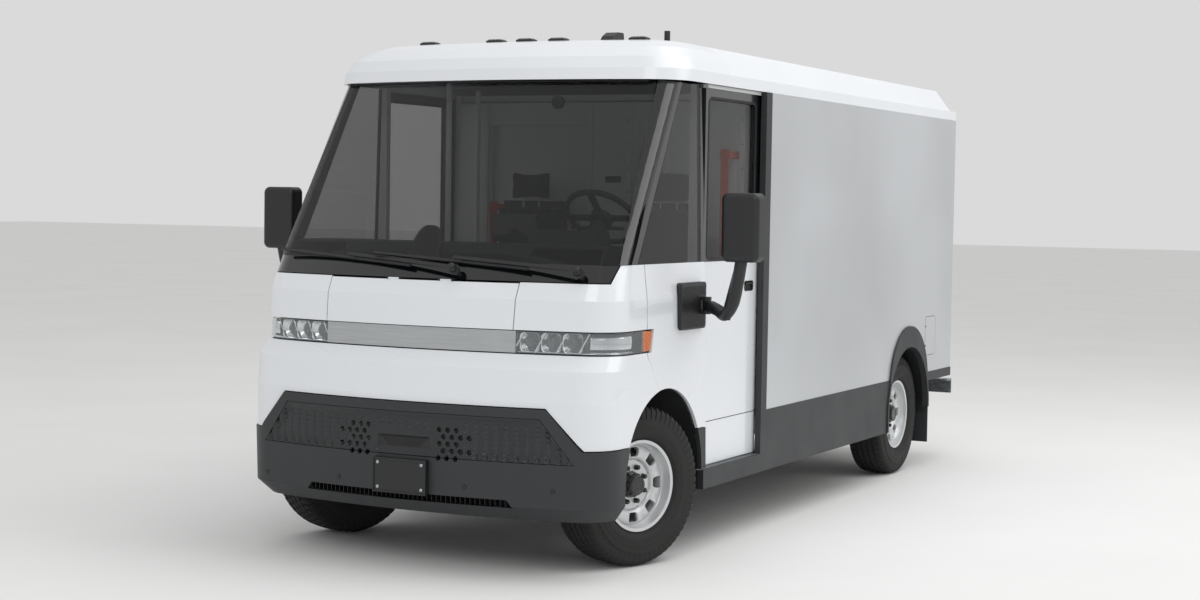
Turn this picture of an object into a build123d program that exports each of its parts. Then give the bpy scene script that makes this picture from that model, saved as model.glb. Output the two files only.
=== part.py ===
from build123d import *
from math import cos, radians, sin, sqrt
import os

# Walk-in electric mail delivery truck, built as separate panels, frame, running gear and doors.
# Millimetres, +Z up, the truck faces -Y and its left side is +X.
# The origin is on the ground, at the middle of the footprint.

# ---------------------------------------------------------------- driving sizes
wheelbase = 3886.0
front_overhang = 788.0          # front axle to the face of the number plate holder
rear_overhang = 1144.0          # rear axle to the back of the step bumper
body_half_width = 1040.0        # outer face of the cargo side panels
track_half = 865.0              # middle of the vehicle to the middle of a tyre
ground_clearance = 280.0        # bottom of the front bumper

tyre_radius = 400.0
tyre_width = 245.0
rim_radius = 232.0              # outer edge of the rim's flange
rim_width = 200.0
stud_circle_radius = 90.0
stud_count = 8
window_count = 8

steer_at_rest = -20.0           # the front wheels stand turned to the right
kingpin_x = 765.0
axle_z = tyre_radius
arch_radius = 450.0             # opening in the skin over a wheel
arch_z = 430.0
arch_back = 40.0                # the front opening is this far behind its axle
front_housing_radius = 492.0    # leaves room for the steered tyre
rear_housing_radius = 450.0
rear_arch_radius = 418.0
rear_arch_z = 440.0
flare_width = 20.0              # rear arch trim, at the height of its opening's centre
brow_radius = 400.0             # its taller upper part
brow_z = 598.0

cowl_z = 1415.0                 # bottom edge of the black cowl
glass_base_z = 1500.0
eave_z = 2416.0                 # top of the side panels and of the windscreen
roof_z = 2650.0
bumper_top_z = 820.0
lamp_base_z = 1075.0
lamp_top_z = 1180.0
skirt_top_z = 660.0
skirt_base_z = 320.0
door_base_z = 430.0

panel = 4.0                     # thickness of a formed body panel
glass = 6.0
side_wall = 28.0                # cargo side: composite sandwich
shut_gap = 5.0                  # gap between neighbouring body panels
joint_gap = 0.3                 # gap where a piece turns or slides beside another
touch_gap = 0.5                 # gap between assembled pieces that are bolted up
bow_radius = 3800.0             # plan curve of the front and the windscreen

belt_z = glass_base_z - touch_gap
hood_top_gap = 10.0

# stations along the truck, measured back from a datum a little ahead of the front axle
front_axle_s = 20.0
rear_axle_s = front_axle_s + wheelbase
nose_s = front_axle_s - front_overhang
tail_s = rear_axle_s + rear_overhang
fender_s = -160.0               # joint between the nose and the cab side panels
door_front_s = 560.0
door_rear_s = 1282.0
firewall_s = -344.0
cargo_front_s = 1362.0
cargo_rear_s = 4870.0
hood_half = 538.0
cowl_half = 980.0



def at(s):
    """The Y place of a station; the footprint's middle is at zero."""
    return s - (nose_s + tail_s) / 2


firewall_y = at(firewall_s)


# ---------------------------------------------------------------- helpers
def block(x0, x1, y0, y1, z0, z1):
    """A box given by its two corners."""
    return Pos((x0 + x1) / 2, (y0 + y1) / 2, (z0 + z1) / 2) * Box(abs(x1 - x0), abs(y1 - y0), abs(z1 - z0))


def rod_x(x0, x1, y, z, r):
    """A round bar along X."""
    return Pos((x0 + x1) / 2, y, z) * Rot(0, 90, 0) * Cylinder(r, abs(x1 - x0))


def rod_y(x, y0, y1, z, r):
    """A round bar along Y."""
    return Pos(x, (y0 + y1) / 2, z) * Rot(90, 0, 0) * Cylinder(r, abs(y1 - y0))


def rod_z(x, y, z0, z1, r):
    """An upright round bar."""
    return Pos(x, y, (z0 + z1) / 2) * Cylinder(r, abs(z1 - z0))


def side_prism(points, x0, x1):
    """A prism between x0 and x1 whose outline is given as (y, z) points."""
    face = make_face(Polyline([(x0, y, z) for y, z in points], close=True))
    return extrude(face, x1 - x0, dir=(1, 0, 0))


def front_prism(points, y0, y1):
    """A prism between y0 and y1 whose outline is given as (x, z) points."""
    face = make_face(Polyline([(x, y0, z) for x, z in points], close=True))
    return extrude(face, y1 - y0, dir=(0, 1, 0))


def flip(shape):
    """The same piece on the other side of the truck."""
    return mirror(shape, about=Plane.YZ)


def both(shape):
    return [shape, flip(shape)]


def solids_of(items):
    found = []
    for item in items:
        found += item.solids() if hasattr(item, "solids") else solids_of(item)
    return found


def save(name, *items):
    """Writes one node; every solid in it stays separate."""
    found = solids_of(items)
    shape = found[0] if len(found) == 1 else Compound(children=found)
    export_step(shape, f"parts/{name}.step")


def outline(z, half, front_s, corner, back_s, inset=0.0):
    """A level section of the nose: bowed front, rounded corners, straight sides."""
    w = half - inset
    f = at(front_s) + inset
    r = bow_radius - inset
    drop = r - sqrt(r * r - w * w)
    front = ThreePointArc((-w, f + drop, z), (0, f, z), (w, f + drop, z))
    right = Line((w, f + drop, z), (w, at(back_s), z))
    back = Line((w, at(back_s), z), (-w, at(back_s), z))
    left = Line((-w, at(back_s), z), (-w, f + drop, z))
    face = make_face([front, right, back, left])
    corners = face.vertices().sort_by(Axis.Y)[:2]
    return fillet(corners, corner - inset) if corner > inset + 1 else face


def shell(sections, thickness, back_s):
    """A curved wall through level sections (z, half width, front station, corner radius)."""
    outer = loft([outline(*s, back_s) for s in sections], ruled=True)
    inner = loft([outline(*s, back_s + 50, inset=thickness) for s in sections], ruled=True)
    return outer - inner


# ---------------------------------------------------------------- level sections of the cab
bumper_sections = [
    (ground_clearance, 990, -665, 205),
    (ground_clearance + 70, 1038, -738, 205),
    (bumper_top_z, 1046, -752, 205),
]
fascia_sections = [
    (560, 1034, -738, 200),
    (850, 1036, -742, 200),
    (1000, 1036, -718, 200),
    (lamp_base_z - shut_gap, 1030, -650, 195),
]
side_sections = [
    (560, 1034, -738, 200),
    (1000, 1034, -718, 200),
    (lamp_top_z, 1030, -650, 195),
    (1330, 1026, -636, 190),
    (belt_z, 1008, -548, 170),
]
lamp_sections = [
    (lamp_base_z, 1026, -636, 190),
    (lamp_top_z, 1024, -632, 190),
]
hood_sections = [
    (lamp_top_z + shut_gap, 1028, -650, 195),
    (1330, 1024, -636, 190),
    (cowl_z, 1014, -596, 180),
    (belt_z, 1006, -550, 170),
]
glass_sections = [
    (belt_z, 1006, -548, 150),
    (eave_z, 985, 30, 130),
]
carrier_top_z = 1064.0          # top of the shelf that carries the fascia and the lamps

shell_back_s = door_front_s


def arch_solid(centre_s, centre_z, radius, x0, x1, z0=0):
    """A round-topped prism across the truck, such as a wheel opening."""
    round_part = rod_x(x0, x1, at(centre_s), centre_z, radius)
    below = block(x0, x1, at(centre_s) - radius, at(centre_s) + radius, z0, centre_z)
    upper = block(x0, x1, at(centre_s) - radius - 1, at(centre_s) + radius + 1, z0, centre_z + radius + 1)
    return (round_part + below) & upper


def front_arches():
    return both(arch_solid(front_axle_s + arch_back, arch_z, arch_radius, 500, 1200))


def rear_arch(x0, x1):
    """The opening over a rear wheel."""
    return arch_solid(rear_axle_s, rear_arch_z, rear_arch_radius, x0, x1)


def rear_flare(x0, x1, grow=0.0, z0=0.0):
    """The outline of the trim round a rear wheel opening: wider, with a taller brow."""
    low = arch_solid(rear_axle_s, rear_arch_z, rear_arch_radius + flare_width + grow, x0, x1, z0)
    return low + rod_x(x0, x1, at(rear_axle_s), brow_z, brow_radius + grow)


def cut_all(shape, cutters):
    for cutter in cutters:
        shape = shape - cutter
    return shape


# ---------------------------------------------------------------- front bumper
bumper_wall = 22.0
bumper_shoulder_x = 748.0
bumper_low_x = 925.0
bumper_low_z = 625.0
plate_half = 152.0
plate_z = (375.0, 545.0)
recess_z = (575.0, 655.0)
field_z = (560.0, 775.0)
field_low_x = 890.0
field_high_x = 725.0
field_depth = 14.0


def bumper_outline(grow=0.0):
    """The front view of the bumper; grow moves its top edge up for the gap beside it."""
    top = bumper_top_z + grow
    points = [(-1300, 0), (-1300, bumper_low_z + grow), (-bumper_low_x - grow, bumper_low_z + grow)]
    points += [(-bumper_shoulder_x, top), (bumper_shoulder_x, top)]
    points += [(bumper_low_x + grow, bumper_low_z + grow), (1300, bumper_low_z + grow), (1300, 0)]
    return points


def bumper_field():
    """The shallow recess in the middle of the bumper that carries the dimpled panel."""
    points = [(-field_low_x, field_z[0]), (-field_high_x, field_z[1]), (field_high_x, field_z[1]),
              (field_low_x, field_z[0])]
    return shell(bumper_sections, field_depth, shell_back_s) & front_prism(points, at(-900), at(-500))


def front_bumper():
    body = shell(bumper_sections, bumper_wall, shell_back_s)
    body = body & front_prism(bumper_outline(), at(-900), at(-100))
    body = cut_all(body, front_arches())
    body = body - block(-1300, 1300, at(fender_s) + 60, at(1000), 0, 1500)
    recess = block(-150, 150, at(-900), at(-600), *recess_z)
    intake = front_prism([(-590, 342), (-560, 380), (560, 380), (590, 342)], at(-900), at(-500))
    body = body - recess - intake - bumper_field()
    for side in (-1, 1):
        for row in range(5):
            count = 3 + row % 2
            for column in range(count):
                x = side * (215 + (column + 0.5 * (row % 2)) * 46 - 12)
                z = 560 + row * 34
                body = body - rod_y(x, at(-900), at(-600), z, 13)
    return body


def radar_cover():
    """The closed box behind the bumper's recess, which holds the parking radar."""
    y0 = at(-722)
    return block(-150 + touch_gap, 150 - touch_gap, y0, y0 + 22, recess_z[0] + touch_gap,
                 recess_z[1] - touch_gap)


intake_low_z = 347.0
intake_high_z = 375.0


def intake_bars():
    """Two cross bars in the low air intake."""
    grid = block(-900, 900, at(-610), at(-598), intake_low_z, intake_high_z)
    for x in (-420, -140, 140, 420):
        grid = grid + block(x - 6, x + 6, at(-640), at(-610), intake_low_z, intake_high_z)
    return grid & inside(bumper_sections, bumper_wall + touch_gap)


def plate_holder():
    """A blank number plate holder on the bumper, with its four screws."""
    y_face = at(nose_s)
    plate = block(-plate_half, plate_half, y_face, y_face + 60, *plate_z) - inside(bumper_sections,
                                                                                   -touch_gap)
    plate = plate - block(-plate_half + 8, plate_half - 8, y_face, y_face + 4, plate_z[0] + 8, plate_z[1] - 8)
    return plate


# ---------------------------------------------------------------- nose panels
def nose_region(back_shift=0.0):
    """The side view of everything ahead of the cab side panels."""
    s = fender_s + back_shift
    low_s = 30 + back_shift
    points = [(at(-1000), 0), (at(-1000), 1700), (at(s), 1700), (at(s), lamp_base_z - 20)]
    points += [(at(low_s), 800), (at(low_s), 0)]
    return side_prism(points, -1300, 1300)


def front_fascia():
    body = shell(fascia_sections, panel * 4, shell_back_s)
    body = body & nose_region()
    body = body - front_prism(bumper_outline(shut_gap), at(-900), at(600))
    return cut_all(body, front_arches())


def hood_side_prism(half_low, half_high, y0, y1):
    points = [(-half_low, lamp_top_z - 50), (-half_high, cowl_z + 30), (half_high, cowl_z + 30)]
    points += [(half_low, lamp_top_z - 50)]
    return front_prism(points, y0, y1)


def upper_nose():
    return shell(hood_sections, panel * 3, shell_back_s)


def hood_panel(nose):
    """The service hatch between the lamps, hinged in the gap along its upper edge."""
    body = nose & hood_side_prism(hood_half - shut_gap, hood_half, at(-900), at(-300))
    body = body & block(-600, 600, at(-900), at(-300), 1000, cowl_z - hood_top_gap)
    for x in (-hood_hinge_x, hood_hinge_x):
        body = body + rod_x(x - 30, x + 30, hood_hinge_y, hood_hinge_z, 4.5)
        body = body + block(x - 30, x + 30, hood_hinge_y - 2, hood_hinge_y + 8, hood_hinge_z - 9,
                            hood_hinge_z - 2)
        body = body - rod_x(x - 40, x + 40, hood_hinge_y, hood_hinge_z, 2 + running_gap)
    return body


hood_hinge_x = 150.0
hood_hinge_y = at(-598)
hood_hinge_z = cowl_z - hood_top_gap / 2


def hood_hinge_pins():
    """Pins of the hood hinges, on arms that reach back to the firewall."""
    pins = []
    for x in (-hood_hinge_x, hood_hinge_x):
        pin = rod_x(x - 44, x + 44, hood_hinge_y, hood_hinge_z, 2)
        for side in (-1, 1):
            near, far = x + side * 31, x + side * 44
            pin = pin + block(near, far, hood_hinge_y - 3, firewall_y, hood_hinge_z - 3, hood_hinge_z + 3)
        pins.append(pin)
    return pins


def corner_panels(nose):
    """The white panels beside the hood, wrapping round to the cab sides."""
    body = nose & nose_region()
    body = body - hood_side_prism(hood_half, hood_half + shut_gap, at(-900), at(-300))
    body = body - block(-hood_half, hood_half, at(-900), at(-300), lamp_top_z - 20, glass_base_z + 40)
    cowl_zone = cowl_prism(shut_gap)
    body = body - cowl_zone
    return body


def cowl_prism(grow):
    """The front view of the cowl panel."""
    low, high = cowl_half - 16 + grow, cowl_half + grow
    bottom, top = cowl_z - grow, glass_base_z + grow
    return front_prism([(-low, bottom), (-high, top), (high, top), (low, bottom)], at(-900), at(-250))


def windscreen_surround(nose, upper):
    """The gloss black cowl under the glass and the covers of the two front pillars."""
    cowl = nose & cowl_prism(0)
    pillars = upper & pillar_region(0)
    pillars = pillars - glass_prism(4)
    strips = upper & block(-1300, 1300, at(quarter_rear_s) + touch_gap, at(door_front_s) - shut_gap,
                           glass_base_z, eave_z - shut_gap)
    return [cowl, [pillars, strips]]


def glass_prism(grow):
    """The front view of the windscreen, tapering towards the roof."""
    low, high = 978 + grow, 912 + grow
    return front_prism([(-low, glass_base_z - 5), (-high, eave_z + 40), (high, eave_z + 40),
                        (low, glass_base_z - 5)],
                       at(-900), at(600))


def pillar_region(shift):
    """The side view of the front pillars, parallel to the windscreen."""
    points = [(at(-900), glass_base_z), (at(-900), eave_z + 50), (at(330 + shift), eave_z + 50)]
    points += [(at(300 + shift), eave_z), (at(-232 + shift), glass_base_z)]
    return side_prism(points, -1300, 1300)


quarter_rear_s = door_front_s - 44


def windscreen():
    body = shell([(glass_base_z, 1006, -548, 150), (eave_z - shut_gap, 985, 27, 130)], glass, shell_back_s)
    body = body & glass_prism(0)
    return body & side_prism([(at(-900), glass_base_z), (at(-900), eave_z), (at(230), eave_z),
                              (at(-300), glass_base_z)], -1300, 1300)


def quarter_windows():
    body = shell([(glass_base_z, 1006, -548, 150), (eave_z - shut_gap, 985, 27, 130)], glass, shell_back_s)
    body = body - pillar_region(shut_gap)
    return body & block(-1300, 1300, at(-400), at(quarter_rear_s), glass_base_z, eave_z)


lamp_end_s = -172.5
lamp_depth = 42.0


def lamp_region(x_inner, end_s):
    """Both ends of the lamp band: from beside the bar round to the cab sides."""
    side = side_prism([(at(-1000), 900), (at(-1000), 1400), (at(end_s), 1400), (at(end_s), 900)], -1300, 1300)
    return side - block(-x_inner, x_inner, at(-900), at(-400), 900, 1400)


def lamp_wall(z0, z1, inset, thickness):
    """A wall parallel to the lamp band's face, a little way behind it."""
    sections = []
    for (_, w, f, r), z in zip(lamp_sections, (z0, z1)):
        sections.append((z, w - inset, f + inset, r - inset))
    return shell(sections, thickness, shell_back_s)


def grille_bar():
    """The bright bar between the headlamps, left plain."""
    body = shell(lamp_sections, 10, shell_back_s)
    return body & block(-hood_half - 3.5, hood_half + 3.5, at(-900), at(-400), lamp_base_z, lamp_top_z)


def headlamp_housings():
    """A channel behind each lens that carries the lamp units."""
    outer = lamp_wall(carrier_top_z + touch_gap, lamp_top_z, panel + touch_gap, lamp_depth + 4)
    outer = outer & lamp_region(hood_half + 4, lamp_end_s)
    room = lamp_wall(lamp_base_z + 5, lamp_top_z - 5, panel, lamp_depth - panel)
    room = room & lamp_region(hood_half + 9, lamp_end_s - 6)
    lip = lamp_wall(1040, lamp_base_z - shut_gap / 2, 0, 22)
    return outer - room - lip


def headlamp_lenses():
    body = shell(lamp_sections, panel, shell_back_s)
    return body & lamp_region(hood_half + 4, lamp_end_s)


def projector_lamps():
    """Three projector units in each headlamp, seated on the back of its channel."""
    units = []
    room = lamp_wall(lamp_base_z, lamp_top_z, 12, lamp_depth - 12 - touch_gap)
    for x in (610, 716, 822):
        unit = rod_y(x, at(-700), at(-400), (lamp_base_z + lamp_top_z) / 2, 38) & room
        units += both(unit)
    return units


def turn_signals():
    """Amber corner lamps at the outer end of each headlamp."""
    points = [(at(lamp_end_s) + touch_gap, lamp_base_z + 2), (at(lamp_end_s) + touch_gap, lamp_top_z - 2)]
    points += [(at(-92), lamp_top_z - 2), (at(-118), lamp_base_z + 2)]
    body = shell(lamp_sections, 20, shell_back_s) & side_prism(points, -1300, 1300)
    return body


def cab_side_panels():
    """The white panel over each front wheel, from the nose back to the door."""
    body = shell(side_sections, panel * 4, shell_back_s)
    body = body - nose_region(shut_gap)
    body = body & block(-1300, 1300, at(-400), at(door_front_s) - 4, 645, belt_z)
    body = cut_all(body, front_arches())
    lamp_points = [(at(-300), lamp_base_z - shut_gap), (at(-300), lamp_top_z + shut_gap),
                   (at(-84), lamp_top_z + shut_gap), (at(-112), lamp_base_z - shut_gap)]
    return body - side_prism(lamp_points, -1300, 1300)


def cab_posts():
    """Posts ahead of the cab doors that carry the side panels and the quarter glass."""
    low = block(930, 1100, at(500), at(door_front_s) - shut_gap, floor_top_z + touch_gap, belt_z)
    low = low & inside(side_sections, panel * 4 + touch_gap)
    high = block(930, 1100, at(quarter_rear_s) + 2, at(door_front_s) - shut_gap, belt_z, eave_z)
    high = high & inside(glass_sections, 20 + touch_gap)
    return both(low + high)


# ---------------------------------------------------------------- roof
roof_sections = [
    (eave_z + touch_gap, 1040, 0, 230),
    (eave_z + 60, 1038, 18, 230),
    (eave_z + 120, 1012, 62, 230),
    (eave_z + 175, 960, 145, 220),
    (roof_z - 22, 890, 265, 200),
    (roof_z - 6, 800, 390, 170),
    (roof_z, 700, 520, 140),
]
roof_skin = 14.0
recess_front_s = 800.0


def roof_solid(inset):
    faces = []
    for z, half, front_s, corner in roof_sections:
        level = z - inset
        faces.append(outline(level, half - inset, front_s + inset, max(corner - inset, 20),
                             cargo_rear_s - 2 - inset))
    return loft(faces, ruled=True)


def roof_shell():
    """The moulded roof: rounded brow over the windscreen and a long recess along each side."""
    outer = roof_solid(0)
    inner = roof_solid(roof_skin)
    recess_z0 = eave_z + 62
    recess_points = [(1000, recess_z0), (1300, recess_z0), (1300, roof_z + 100), (880, roof_z + 40),
                     (880, roof_z - 12)]
    cut = front_prism(recess_points, at(recess_front_s), at(cargo_rear_s) + 10)
    inner_cut = front_prism([(1000 - 24, recess_z0 - roof_skin), (1300, recess_z0 - roof_skin),
                             (1300, roof_z + 100), (880 - 24, roof_z + 40), (880 - 24, roof_z - 24)],
                            at(recess_front_s) - 14, at(cargo_rear_s) + 10)
    for piece in both(cut):
        outer = outer - piece
    for piece in both(inner_cut):
        inner = inner - piece
    return outer - inner


def roof_lamps(skin):
    """The five roof clearance lamps over the windscreen."""
    lamps = []
    for x, s in ((-190, 420), (0, 410), (190, 420), (-640, 470), (640, 470)):
        lamp = block(x - 55, x + 55, at(s), at(s) + 60, roof_z - 60, roof_z + 16)
        lamp = fillet(lamp.edges().filter_by(Axis.Y).sort_by(Axis.Z)[-2:], 12)
        lamps.append(lamp - skin)
    return lamps


def roof_antennas(skin):
    """A shark-fin pod and a round mast pod on the left of the roof."""
    fin = side_prism([(at(600), roof_z - 10), (at(640), roof_z + 34), (at(690), roof_z + 58),
                      (at(760), roof_z + 60),
                      (at(770), roof_z - 10)], 350, 420)
    fin = fillet(fin.edges().filter_by(Axis.X).sort_by(Axis.Z)[-2:], 12)
    mast = rod_z(650, at(820), roof_z - 10, roof_z + 70, 16) + rod_z(650, at(820), roof_z - 10, roof_z + 14,
                                                                     46)
    return [fin - skin, mast - skin]


# ---------------------------------------------------------------- frame and running gear
rail_x = 430.0
rail_width = 70.0
rail_z = (472.0, 610.0)
rail_front_s = -580.0
rail_rear_s = 4868.0
tower_x = (rail_x + rail_width / 2 + touch_gap, 486.0)
spindle_r = 24.0
kingpin_r = 18.0
running_gap = 0.05
hub_inner_x = track_half - 70.0
disc_x = track_half + 12.0      # the mounting face of the wheel disc


def inside(sections, inset):
    """The solid space within a curved wall, used to fit brackets to its inner face."""
    return loft([outline(*s, shell_back_s, inset=inset) for s in sections], ruled=True)


def ladder_frame():
    """Two box rails, cross members, the bumper beam and its brackets, and the rear step brackets."""
    half = rail_width / 2
    parts = []
    for x in (-rail_x, rail_x):
        rail = block(x - half, x + half, at(rail_front_s), at(rail_rear_s), *rail_z)
        hollow = block(x - half + 6, x + half - 6, at(rail_front_s) + 20, at(rail_rear_s) - 20,
                       rail_z[0] + 6, rail_z[1] - 6)
        parts.append(rail - hollow)
    frame = parts[0] + parts[1]
    for s in (rail_front_s + 60, 560, 3420, 4300, rail_rear_s - 90):
        frame = frame + block(-rail_x + half, rail_x - half, at(s), at(s) + 60, rail_z[0] + 20,
                              rail_z[1] - 20)
    frame = frame + block(-760, 760, at(rail_front_s) - 60, at(rail_front_s), rail_z[0] + 10, rail_z[1] - 40)
    reach = inside(bumper_sections, bumper_wall + touch_gap)
    for x in (-rail_x, rail_x):
        arm = block(x - 40, x + 40, at(-760), at(rail_front_s) - 60, rail_z[0] + 20, rail_z[1] - 60)
        frame = frame + (arm & reach)
        step = block(x - 30, x + 30, at(rail_rear_s), at(step_front_s), step_z[0] + 20, step_z[1] - 20)
        frame = frame + step
    return frame


step_front_s = 4940.0
step_z = (455.0, 560.0)


def body_outriggers():
    """Cross bearers between the rails and the side skirts that carry the body."""
    bars = []
    for s in (1480, 2100, 2720, 3330, 4470, 4730):
        reach = pocket_x - 2 if s < pocket_rear_s else side_inner - 1
        bar = block(-reach, reach, at(s), at(s) + 60, rail_z[1] + touch_gap, floor_under_z - touch_gap)
        bars.append(bar)
    return bars


side_inner = body_half_width - side_wall
floor_under_z = 632.0
floor_top_z = 662.0
ledge_z = 660.0                 # lowered floor edge that the bulkhead and pocket walls stand on


def battery_pack():
    """A closed traction battery between the rails, with mounting ears bolted to them."""
    inner = rail_x - rail_width / 2 - 4
    tray = block(-inner, inner, at(700), at(3360), 330, rail_z[1] - 8)
    tray = chamfer(tray.edges().filter_by(Axis.Y), 18)
    for s in (900, 1700, 2500, 3100):
        for side in (-1, 1):
            low = block(side * (inner - 30), side * (rail_x + 30), at(s), at(s) + 90,
                        rail_z[0] - touch_gap - 14, rail_z[0] - touch_gap)
            tray = tray + low
    return tray


def front_suspension():
    """A fork on each side of the frame that holds the kingpin."""
    y = at(front_axle_s)
    forks = []
    tower = block(*tower_x, y - 60, y + 60, 252, rail_z[1] - 10)
    for z0, z1 in ((252, 278), (522, 548)):
        tower = tower + block(tower_x[0], kingpin_x, y - 26, y + 26, z0, z1) + rod_z(kingpin_x, y, z0, z1, 26)
    tower = tower - rod_z(kingpin_x, y, 200, 600, kingpin_r + running_gap)
    forks += both(tower)
    return forks


def steering_rack():
    """The rack housing bolted across the frame behind the front axle."""
    y = at(front_axle_s) + 190
    under = rail_z[0] - touch_gap
    housing = rod_x(-360, 360, y, under - 42, 34)
    for x in (-rail_x + 60, rail_x - 60):
        housing = housing + block(x - 30, x + 60, y - 30, y + 30, under - 60, under)
    for side in (-1, 1):
        housing = housing + block(side * 330, side * rail_x, y - 30, y + 30, under - 30, under)
    return housing


def front_knuckle():
    """Left knuckle: kingpin, upright and stub axle, modelled straight ahead."""
    y = at(front_axle_s)
    pin = rod_z(kingpin_x, y, 246, 554, kingpin_r)
    upright = rod_z(kingpin_x, y, 278 + joint_gap, 522 - joint_gap, 26)
    spindle = rod_x(kingpin_x, disc_x + 70, y, axle_z, spindle_r)
    arm = block(kingpin_x - 130, kingpin_x, y + 20, y + 60, axle_z - 60, axle_z - 30)
    collar = rod_x(kingpin_x, hub_inner_x - joint_gap * 2, y, axle_z, 46)
    return pin + upright + spindle + collar + arm


def rear_axle():
    """Rear beam with its stub axles and the drive unit at its middle."""
    y = at(rear_axle_s)
    beam = rod_x(-hub_inner_x + joint_gap * 2, hub_inner_x - joint_gap * 2, y, axle_z, 50)
    ends = rod_x(-disc_x - 70, disc_x + 70, y, axle_z, spindle_r)
    drive = Pos(-90, y, axle_z - 20) * Rot(0, 90, 0) * Cylinder(150, 420)
    case = Pos(190, y, axle_z) * Rot(0, 90, 0) * Cylinder(110, 150)
    return beam + ends + drive + case


def rear_springs():
    """Two-leaf springs between the rear axle and the frame rails."""
    y = at(rear_axle_s)
    leaves = []
    for x in (-rail_x, rail_x):
        low = block(x - 30, x + 30, y - 420, y + 420, axle_z + 50 + touch_gap, axle_z + 60)
        top = block(x - 30, x + 30, y - 620, y + 620, axle_z + 60, rail_z[0] - touch_gap)
        leaves.append(low + top)
    return leaves


def tyre(x, y):
    """A tyre about its own axis: rounded shoulders, tread grooves and a hollow inside."""
    half = tyre_width / 2
    seat = rim_radius - 18
    bead = rim_width / 2 - 5 - touch_gap
    profile = make_face([
        Polyline((-bead, seat, 0), (-bead, rim_radius, 0), (-half + 6, seat + 34, 0), (-half, seat + 80, 0),
                 (-half + 8, tyre_radius - 34, 0)),
        ThreePointArc((-half + 8, tyre_radius - 34, 0), (-half + 16, tyre_radius - 14, 0),
                      (-half + 34, tyre_radius - 4, 0)),
        ThreePointArc((-half + 34, tyre_radius - 4, 0), (0, tyre_radius, 0), (half - 34, tyre_radius - 4, 0)),
        ThreePointArc((half - 34, tyre_radius - 4, 0), (half - 16, tyre_radius - 14, 0),
                      (half - 8, tyre_radius - 34, 0)),
        Polyline((half - 8, tyre_radius - 34, 0), (half, seat + 80, 0), (half - 6, seat + 34, 0),
                 (bead, rim_radius, 0),
                 (bead, seat, 0)),
        Polyline((bead, seat, 0), (bead - 14, seat, 0), (half - 20, seat + 80, 0),
                 (half - 36, tyre_radius - 44, 0),
                 (0, tyre_radius - 26, 0), (-half + 36, tyre_radius - 44, 0), (-half + 20, seat + 80, 0),
                 (-bead + 14, seat, 0), (-bead, seat, 0)),
    ])
    body = revolve(profile, Axis.X, 360)
    for groove in (-54, -18, 18, 54):
        ring = Rot(0, 90, 0) * (Cylinder(tyre_radius + 5, 9) - Cylinder(tyre_radius - 11, 9))
        body = body - Pos(groove, 0, 0) * ring
    return Pos(x, y, axle_z) * body


def rim(x, y, side):
    """A pressed steel wheel: flanged barrel and a dished disc with rounded windows."""
    half = rim_width / 2
    seat = rim_radius - 18 - touch_gap / 2
    wall = 7
    barrel = make_face(Polyline([
        (-half, rim_radius - 4, 0), (-half, seat - wall, 0), (-half + 50, seat - wall, 0),
        (-half + 70, seat - 26, 0),
        (half - 70, seat - 26, 0), (half - 50, seat - wall, 0), (half, seat - wall, 0),
        (half, rim_radius - 4, 0),
        (half - 5, rim_radius - 4, 0), (half - 5, seat, 0), (half - 45, seat, 0), (half - 65, seat - 19, 0),
        (-half + 65, seat - 19, 0), (-half + 45, seat, 0), (-half + 5, seat, 0),
        (-half + 5, rim_radius - 4, 0)], close=True))
    body = revolve(barrel, Axis.X, 360)
    face = disc_x - track_half
    dish = make_face(Polyline([
        (face, 0, 0), (face, 122, 0), (face + 34, 148, 0), (face + 40, 176, 0), (face + 20, seat - 24, 0),
        (face + 10, seat - 24, 0), (face + 30, 174, 0), (face + 26, 154, 0), (face - 8, 128, 0),
        (face - 8, 0, 0)], close=True))
    disc = revolve(dish, Axis.X, 360)
    window = Pos(face + 20, 0, 164) * Rot(0, 90, 0) * extrude(
        Pos(0, 0, -40) * make_face(fillet(Polygon(*window_points()).vertices(), 11).edges()), 80)
    for index in range(window_count):
        turn = Rot(360 / window_count * index, 0, 0)
        disc = disc - turn * window
    for index in range(stud_count):
        turn = Rot(360 / stud_count * (index + 0.5), 0, 0)
        disc = disc - turn * (Pos(face, 0, stud_circle_radius) * Rot(0, 90, 0) * Cylinder(8.5, 60))
    disc = disc - Rot(0, 90, 0) * Cylinder(pilot_radius + joint_gap, 300)
    wheel = body + disc
    return Pos(x, y, axle_z) * (wheel if side > 0 else flip(wheel))


pilot_radius = 62.0


def window_points():
    """Rounded trapezoid of one wheel window, wider towards the rim."""
    return [(-20, -22), (20, -27), (20, 27), (-20, 22)]


def hub(x, y, side):
    """Hub with its pilot, brake disc, studs, nuts and the long black cap."""
    face = disc_x - track_half
    body = Pos((hub_inner_x - track_half + face - 8 - joint_gap) / 2, 0, 0) * Rot(0, 90, 0) * Cylinder(
        112, face - 8 - joint_gap - (hub_inner_x - track_half))
    pilot = Pos(face + 24, 0, 0) * Rot(0, 90, 0) * Cylinder(pilot_radius, 66)
    cap = Pos(face + 66, 0, 0) * Rot(0, 90, 0) * Cylinder(50, 26)
    rotor = Pos(hub_inner_x - track_half + 25, 0, 0) * Rot(0, 90, 0) * Cylinder(168, 26)
    body = body + pilot + cap + rotor
    for index in range(stud_count):
        turn = Rot(360 / stud_count * (index + 0.5), 0, 0)
        stud = Pos(face + 12, 0, stud_circle_radius) * Rot(0, 90, 0) * Cylinder(7, 50)
        nut = Pos(face + touch_gap + 11, 0, stud_circle_radius) * Rot(0, 90, 0) * Cylinder(14, 22)
        body = body + turn * stud + turn * nut
    bore = rod_x(-400, face + 72, 0, 0, spindle_r + running_gap)
    body = body - bore
    return Pos(x, y, axle_z) * (body if side > 0 else flip(body))


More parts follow.
